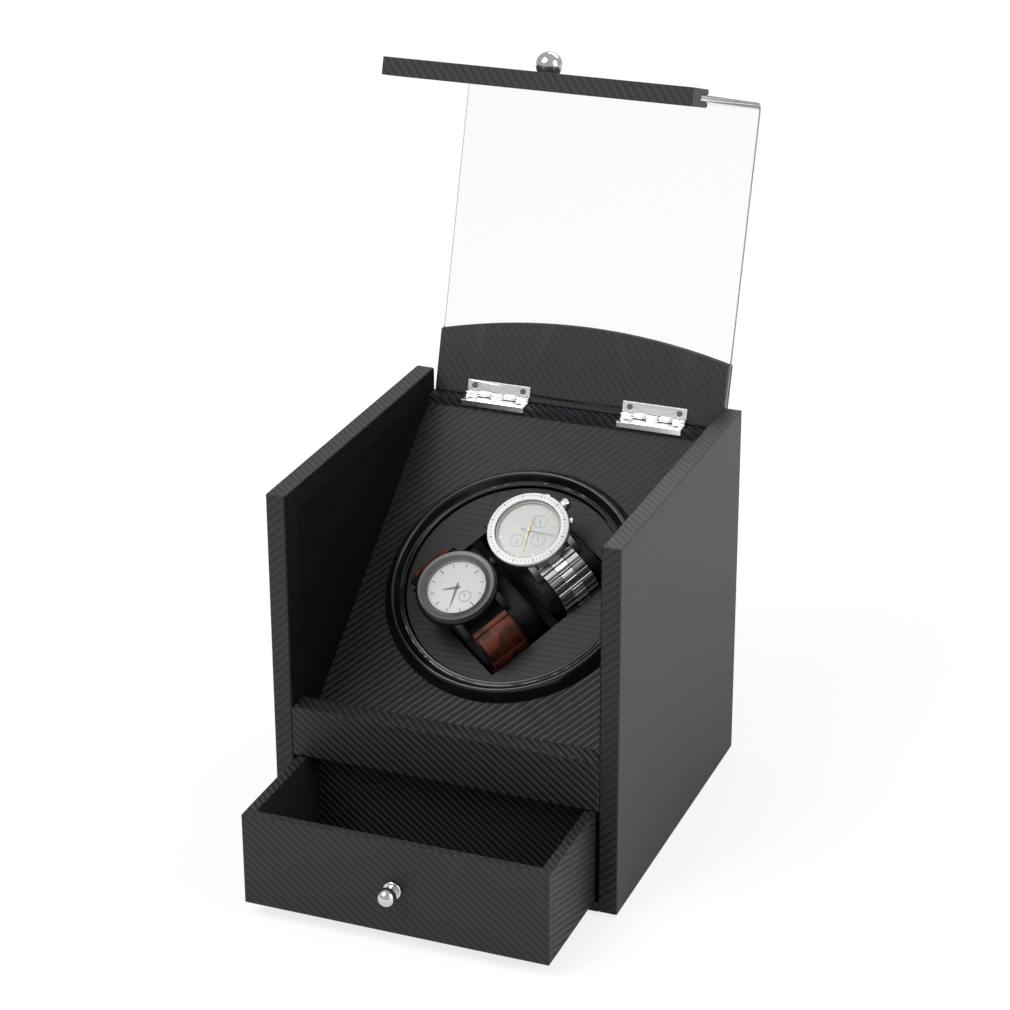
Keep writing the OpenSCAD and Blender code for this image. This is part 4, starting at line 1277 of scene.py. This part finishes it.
def lug(side, end, width, height, reach, low):
    """One curved lug of a watch case, from its side down towards the strap."""
    edges = sorted((side * (width - 3.2), side * width))
    outline = [
        (13.5, height * 0.95), (17.5, height * 0.9), (reach - 1.6, height * 0.42), (reach, -0.9),
        (reach - 1.6, -1.5), (16.0, 0.15), (13.5, 0.15),
    ]
    return across([(y * end, low + z) for y, z in outline], *edges)


def crown_form(radius, length, teeth):
    """A fluted crown along +Z with a domed end."""
    def ring(r, z, depth):
        turns = [(math.pi * k / teeth, r - depth * (k % 2)) for k in range(teeth * 2)]
        return [(f * math.cos(a), f * math.sin(a), z) for a, f in turns]
    return loft([
        ring(radius * 0.86, 0.0, 0), ring(radius, 0.35, 0.22), ring(radius, length - 0.5, 0.22),
        ring(radius * 0.86, length - 0.08, 0), ring(radius * 0.4, length, 0),
    ])


class Watch:
    """Place and sizes of one watch, and the parts that both watches have."""

    def __init__(self, body, slot):
        self.body = body
        self.slot = slot
        self.place = centred_place(body + "_case")
        low, high = local_box(body + "_case", self.place)
        self.low, self.high, self.radius = low.z, high.z, high.x
        self.inner = local_box(body + "_dial", self.place)[1].x
        self.level = high.z - 2.8

    def case(self, name, band, base, lug_sizes, finishes, edge, extra=()):
        """The case: its band, base, four lugs and extra forms; the last finish is the case's own."""
        own = len(finishes) - 1
        shape = Shape().add(lathe(band, 120, closed=True), self.place, own)
        shape.add(disc_form(base, self.low, self.low + 1.0), self.place, own)
        for side in (-1, 1):
            for end in (-1, 1):
                shape.add(lug(side, end, *lug_sizes, self.low), self.place, own)
        for form, spot in extra:
            shape.add(form, spot, 0)
        make_piece(name, shape, finishes, self.body, (self.body + "_case",), edge)

    def face(self, name, shape, finishes):
        """The dial with its marks and hands."""
        make_piece(name, shape, finishes, self.body, (self.body + "_dial",), angle=40)

    def crystal(self, name, foot, shoulder, crest, ease):
        """The watch glass, given by its levels below the top of the case."""
        rim = self.inner - 0.1
        profile = [
            (0, self.high - foot), (rim, self.high - foot), (rim, self.high - shoulder),
            (self.inner - ease, self.high - crest[0]), (0, self.high - crest[1]),
        ]
        shape = Shape().add(lathe(profile, 96), self.place)
        make_piece(name, shape, [material(watch_glass)], self.body, (self.body + "_glass",))

    def crown(self, name, crown_body, finish):
        """The fluted crown with its stem."""
        node = self.body + "_crown"
        low, high = local_box(node, self.place)
        start = self.radius + 0.3
        spot = self.place @ Matrix.Translation((start, 0, (low.z + high.z) / 2))
        spot = spot @ turn_about("Y", 90)
        shape = Shape().add(crown_form((high.z - low.z) / 2, high.x - start, 22), spot)
        shape.add(disc_form(0.95, low.x - start, 0.1), spot)
        make_piece(name, shape, [finish], crown_body, (node,), angle=50)


def pusher(place, radius, height, turn, reach):
    """A round push-piece on the case band, pointing outward, and its place."""
    spot = place @ turn_about("Z", turn) @ Matrix.Translation((0, 0, height))
    spot = spot @ turn_about("Y", 90)
    start = radius + 0.4
    end = start + reach
    stem, button = 1.1, 1.75
    profile = [
        (0, start - 1), (stem, start - 1), (stem, start), (button, start), (button, end - 0.3),
        (button - 0.25, end), (0, end),
    ]
    return lathe(profile, 32), spot


def steel_bezel(watch):
    """The pale bezel of the steel watch, with its sixty marks."""
    low, high, radius, inner = watch.low, watch.high, watch.radius, watch.inner
    profile = [
        (inner, low + 7.4), (radius - 0.3, low + 7.4), (radius - 0.15, low + 7.9),
        *arc(radius - 0.65, low + 8.1, 0.5, 0, 70, 4), (inner + 0.4, high), (inner, high - 0.1),
    ]
    shape = Shape().add(lathe(profile, 160, closed=True), watch.place, 0)
    slope = Matrix.Translation((0, (radius + inner) / 2, high - 0.16))
    slope = slope @ turn_about("X", -9)
    for k in range(60):
        length, width = (1.5, 0.5) if k % 5 == 0 else (0.9, 0.26)
        turn = turn_about("Z", -6 * k)
        bar = brick((-width / 2, -length / 2, -0.1), (width / 2, length / 2, 0.12))
        shape.add(bar, watch.place @ turn @ slope, 1)
    white = material(ink, (0.7, 0.705, 0.7), 0.3)
    black = material(ink, (0.24, 0.245, 0.26), 0.35)
    make_piece("steel_watch_bezel", shape, [white, black], watch.body, angle=40)


def steel_face(watch):
    """The dial of the steel watch: minute track, three small dials and three hands."""
    place, inner, level = watch.place, watch.inner, watch.level
    plate, track, dark, gold = range(4)
    face = Shape()
    face.add(disc_form(inner - 0.05, level - 0.5, level), place, plate)
    face.add(ring_form(inner - 0.05, inner - 1.3, level - 0.1, level + 1.1, 0.4), place, track)
    for k in range(60):
        length, width, finish = (0.75, 0.16, dark) if k % 5 else (1.7, 0.42, gold)
        face.add(mark(inner - 1.5, length, width, 6 * k, level, 0.09), place, finish)
    for angle in (90, 180, 270):
        spot = place @ turn_about("Z", -angle) @ Matrix.Translation((0, 7.4, 0))
        face.add(ring_form(3.6, 3.35, level - 0.05, level + 0.08, 0.03), spot, track)
        for k in range(12):
            face.add(mark(3.2, 0.5, 0.12, 30 * k, level, 0.05), spot, dark)
        face.add(hand(2.6, 0.6, 0.35, 40 + angle, level + 0.1, 0.1), spot, dark)
    face.add(hand(8.4, 2.0, 0.8, 57, level + 0.35, 0.15), place, gold)
    face.add(hand(12.6, 2.6, 0.6, 232, level + 0.6, 0.15), place, gold)
    face.add(hand(14.0, 4.0, 0.3, 148, level + 0.85, 0.12), place, dark)
    face.add(disc_form(0.75, level + 0.02, level + 1.1), place, gold)
    watch.face("steel_watch_face", face, [
        material(dial_paint), material(ink, (0.36, 0.36, 0.355), 0.4),
        material(ink, (0.25, 0.245, 0.23), 0.4), material(plain_metal, (0.66, 0.5, 0.26), 0.2),
    ])


class WINDER_OT_steel_watch(bpy.types.Operator):
    """Builds the steel watch with its three small dials and link bracelet"""

    bl_idname = "winder.steel_watch"
    bl_label = "Build the steel watch"

    def execute(self, context):
        watch = Watch("steel_watch", "watch_steel")
        low, radius, inner = watch.low, watch.radius, watch.inner
        polished = material(polished_steel)
        satin = material(brushed_steel, (1, 1, 0.15))
        band = [
            (inner, low + 3.2), (inner, low + 0.6), (radius * 0.86, low), (radius * 0.9, low + 0.3),
            (radius * 0.91, low + 1.8), *arc(radius - 1.0, low + 3.0, 1.0, -70, 0, 4), (radius, low + 6.6),
            *arc(radius - 0.5, low + 6.9, 0.5, 0, 80, 4), (radius - 1.0, low + 7.5), (inner, low + 7.5),
        ]
        pushers = [pusher(watch.place, radius, low + 4.5, turn, 1.3) for turn in (-27, 27)]
        lug_sizes = (13.2, 6.0, radius + 2.4)
        watch.case("steel_case", band, radius * 0.88, lug_sizes, [polished, satin], 0.2, pushers)
        steel_bezel(watch)
        steel_face(watch)
        watch.crystal("steel_watch_crystal", 1.15, 0.12, (0.02, 0), 0.5)
        watch.crown("steel_fluted_crown", "steel_crown", polished)
        bracelet(centred_place("steel_watch_bracelet"))
        return {"FINISHED"}


def strap_section(half_x, thick):
    """Section of the strap: thinner beside its padded middle, with eased edges."""
    edge = 0.55
    top = thick / 2
    padding = half_x - 3.6
    groove = (half_x - 2.4, top - 0.25)
    right = [(half_x, top - edge), (half_x - edge, top - 0.2), groove, (padding, top)]
    left = [(-x, z) for x, z in reversed(right)]
    return [(-half_x, -top), (half_x, -top), *right, (0, top + 0.12), *left]


def leather_strap(place):
    """The leather strap around the cushion: stiff bends, a thick folded end at each lug and a keeper."""
    half = local_box("leather_watch_strap", place)[1].x - 0.1
    thick = 2.4
    sides = strap_loop("leather_watch_strap", "cushion_left", place, thick)[:3]
    loop = (*sides, 5.6)
    case_low, case_high = local_box("leather_watch_case", place)
    start = case_high.y + 0.4
    stop = loop_length(*loop) + case_low.y - 4.2
    steps = 140
    rings = []
    for k in range(steps + 1):
        spot = place @ on_loop(start + (stop - start) * k / steps, loop)
        rings.append([tuple(spot @ Vector((x, 0, z))) for x, z in strap_section(half, thick)])
    shape = Shape().add(loft(rings))
    for at, length, rise in (
        (start + 1.6, 3.4, 1.3), (start + 4.4, 2.6, 0.9), (stop - 1.5, 3.0, 1.0), (stop - 22.0, 5.0, 0.9),
    ):
        outline = rounded_outline((-length / 2, -thick / 2), (length / 2, thick / 2 + rise), 0.6, 4)
        spot = place @ on_loop(at, loop)
        shape.add(across(outline, -half - 0.05, half + 0.05), spot, 0)
    stitches, spacing = 13, 2.9
    outline = rounded_outline((-0.85, -0.16), (0.85, 0.2), 0.15, 2)
    for k in range(stitches):
        for side in (-1, 1):
            for base in (start + 6, stop - 4 - (stitches - 1) * spacing):
                spot = place @ on_loop(base + k * spacing, loop)
                spot = spot @ Matrix.Translation((side * (half - 2), 0, thick / 2 - 0.14))
                shape.add(across(outline, -0.2, 0.2), spot, 1)
    finishes = [material(strap_leather), material(ink, (0.05, 0.028, 0.018), 0.7)]
    return make_piece(
        "stitched_strap", shape, finishes, "leather_watch", ("leather_watch_strap",), 0.12
    )


def grey_face(watch):
    """The dial of the grey watch: hour and minute marks, one small dial and two hands."""
    place, inner, level = watch.place, watch.inner, watch.level
    face = Shape()
    face.add(disc_form(inner - 0.05, level - 0.5, level), place, 0)
    for k in range(12):
        length, width = (2.0, 0.34) if k % 3 else (2.6, 0.5)
        face.add(mark(inner - 1.2, length, width, 30 * k, level, 0.12), place, 1)
    for k in range(60):
        if k % 5:
            face.add(mark(inner - 0.5, 0.6, 0.12, 6 * k, level, 0.06), place, 1)
    small = place @ Matrix.Translation((0, -6.6, 0))
    face.add(ring_form(3.1, 2.85, level - 0.05, level + 0.08, 0.03), small, 1)
    face.add(hand(2.3, 0.6, 0.3, 20, level + 0.1, 0.1), small, 1)
    face.add(hand(7.4, 1.8, 0.9, 305, level + 0.35, 0.15), place, 1)
    face.add(hand(11.0, 2.4, 0.75, 235, level + 0.6, 0.15), place, 1)
    face.add(disc_form(0.65, level + 0.02, level + 0.9), place, 1)
    watch.face("grey_watch_face", face, [material(dial_paint), material(ink, (0.06, 0.06, 0.062), 0.4)])


def grey_bezel(watch):
    """The raised rim of the grey watch and its slope down to the glass."""
    high, radius, inner = watch.high, watch.radius, watch.inner
    profile = [
        (inner, high - 2.6), (radius - 1.3, high - 1.6), (radius - 1.25, high - 0.35),
        (radius - 1.7, high), (inner + 2.2, high - 0.1), (inner + 1.8, high - 0.4),
        (inner + 0.3, high - 1.1), (inner, high - 1.25),
    ]
    rim = Shape().add(lathe(profile, 144, closed=True), watch.place, 0)
    pale = material(grey_coat, (0.105, 0.108, 0.108), 0.42)
    make_piece("grey_watch_bezel", rim, [pale], watch.body, angle=40)


class WINDER_OT_leather_watch(bpy.types.Operator):
    """Builds the grey watch on its leather strap"""

    bl_idname = "winder.leather_watch"
    bl_label = "Build the leather-strapped watch"

    def execute(self, context):
        watch = Watch("leather_watch", "watch_grey")
        low, radius, inner = watch.low, watch.radius, watch.inner
        coat = material(grey_coat, (0.03, 0.03, 0.032), 0.36)
        band = [
            (inner, low + 3.2), (inner, low + 0.6), (radius * 0.84, low), (radius * 0.9, low + 0.3),
            (radius * 0.92, low + 1.8), *arc(radius - 1.3, low + 3.3, 1.3, -60, 0, 4), (radius, low + 6.2),
            *arc(radius - 0.9, low + 6.6, 0.9, 0, 60, 4), (radius - 1.2, low + 8.0),
            (radius - 1.5, low + 7.8), (inner, low + 7.2),
        ]
        watch.case("grey_case", band, radius * 0.86, (13.4, 6.2, radius + 3), [coat], 0.25)
        grey_bezel(watch)
        grey_face(watch)
        watch.crystal("grey_watch_crystal", 2.3, 1.3, (1.12, 1.05), 0.6)
        watch.crown("grey_fluted_crown", "leather_crown", coat)
        leather_strap(centred_place("leather_watch_strap"))
        return {"FINISHED"}


# ---------------------------------------------------------------- stage


def soft_light(name, place, target, size, power):
    """An area light that looks at a point."""
    data = bpy.data.lights.new(name, "AREA")
    data.shape = "RECTANGLE"
    data.size, data.size_y = size
    data.energy = power
    light = bpy.data.objects.new(name, data)
    light.location = place
    light.rotation_euler = (Vector(target) - Vector(place)).to_track_quat("-Z", "Y").to_euler()
    bpy.context.scene.collection.objects.link(light)
    return light


def studio_floor(shader):
    """Plain white floor: mostly the colour of the backdrop, with a trace of the contact shadow."""
    paper = shader.noise(4, 2.0)
    shade = shader.mix(paper, (0.9, 0.9, 0.9), (0.94, 0.94, 0.94))
    lit = shader.node("ShaderNodeBsdfDiffuse", {}, {"Color": shade, "Roughness": 0.5})
    even = shader.node("ShaderNodeEmission", {}, {"Color": (1, 1, 1, 1), "Strength": 1.0})
    backdrop = 0.78
    share = shader.seen_directly() * backdrop
    shader.finish(shader.node("ShaderNodeMixShader", {}, {0: share, 1: lit, 2: even}))


def studio_world():
    """White surroundings, softer as a light than as a backdrop."""
    world = bpy.data.worlds.new("studio")
    shader = Shader(world)
    strength = shader.seen_directly() * 0.4 + 0.6
    back = shader.node("ShaderNodeBackground", {}, {"Color": (1, 1, 1, 1), "Strength": strength})
    shader.finish(back, "ShaderNodeOutputWorld")
    bpy.context.scene.world = world


def studio_camera():
    """The camera, set by the point that it looks at, its distance, its three angles and its focal length."""
    aim = Vector((-3.548, 0, 160.936)) * MM
    distance = 1.4081
    turn, rise, roll = (math.radians(a) for a in (21.652, 23.666, -0.244))
    focal_pixels, picture_pixels = 2911.09, 1010
    data = bpy.data.cameras.new("camera")
    data.sensor_width = 36
    data.lens = focal_pixels * data.sensor_width / picture_pixels
    data.clip_start = 0.05
    camera = bpy.data.objects.new("camera", data)
    bpy.context.scene.collection.objects.link(camera)
    back = Vector((math.sin(turn) * math.cos(rise), -math.cos(turn) * math.cos(rise), math.sin(rise)))
    right = Vector((math.cos(turn), math.sin(turn), 0))
    up = back.cross(right)
    side = right * math.cos(roll) + up * math.sin(roll)
    top = up * math.cos(roll) - right * math.sin(roll)
    rotation = Matrix((side, top, back)).transposed().to_4x4()
    camera.matrix_world = Matrix.Translation(aim + back * distance) @ rotation
    return camera


class WINDER_OT_stage(bpy.types.Operator):
    """Sets up the floor, the studio light and the camera"""

    bl_idname = "winder.stage"
    bl_label = "Set up the stage"

    def execute(self, context):
        scene = context.scene
        mesh = bpy.data.meshes.new("floor")
        wide = 6.0
        corners = [(-wide, -wide, 0), (wide, -wide, 0), (wide, wide, 0), (-wide, wide, 0)]
        mesh.from_pydata(corners, [], [(0, 1, 2, 3)])
        mesh.materials.append(material(studio_floor))
        floor = bpy.data.objects.new("floor", mesh)
        scene.collection.objects.link(floor)
        middle = (0, 0, 0.14)
        lights = [
            soft_light("key", (-0.9, -1.1, 1.9), middle, (1.4, 1.4), 34),
            soft_light("side", (1.9, -0.3, 1.0), middle, (1.2, 1.6), 20),
            soft_light("back", (0.2, 1.6, 1.6), middle, (1.8, 1.0), 16),
        ]
        camera = studio_camera()
        scene.camera = camera
        studio_world()
        scene.view_settings.view_transform = "Standard"
        return {"FINISHED"}


# ---------------------------------------------------------------- panel and running


class WINDER_PT_panel(bpy.types.Panel):
    """Settings and steps of the winder box"""

    bl_label = "Watch winder box"
    bl_space_type = "VIEW_3D"
    bl_region_type = "UI"
    bl_category = "Winder"

    def draw(self, context):
        for settings in (context.scene.winder_box, context.scene.winder_table):
            box = self.layout.box()
            for name in settings.__annotations__:
                box.prop(settings, name)
        for step in STEPS:
            self.layout.operator(step.bl_idname)


STEPS = (
    WINDER_OT_stage,
    WINDER_OT_cabinet,
    WINDER_OT_drawer,
    WINDER_OT_lid,
    WINDER_OT_knobs,
    WINDER_OT_hinges,
    WINDER_OT_turntable,
    WINDER_OT_drive,
    WINDER_OT_power,
    WINDER_OT_cushions,
    WINDER_OT_steel_watch,
    WINDER_OT_leather_watch,
)
CLASSES = (BoxSettings, TableSettings, *STEPS, WINDER_PT_panel)


def register():
    """Registers the classes and their settings."""
    for cls in CLASSES:
        bpy.utils.register_class(cls)
    bpy.types.Scene.winder_box = bpy.props.PointerProperty(type=BoxSettings)
    bpy.types.Scene.winder_table = bpy.props.PointerProperty(type=TableSettings)


def unregister():
    """Removes the settings and the classes."""
    del bpy.types.Scene.winder_box
    del bpy.types.Scene.winder_table
    for cls in reversed(CLASSES):
        bpy.utils.unregister_class(cls)


def main():
    """Builds every piece in order."""
    register()
    for step in STEPS:
        group, name = step.bl_idname.split(".")
        getattr(getattr(bpy.ops, group), name)()


if __name__ == "__main__":
    main()
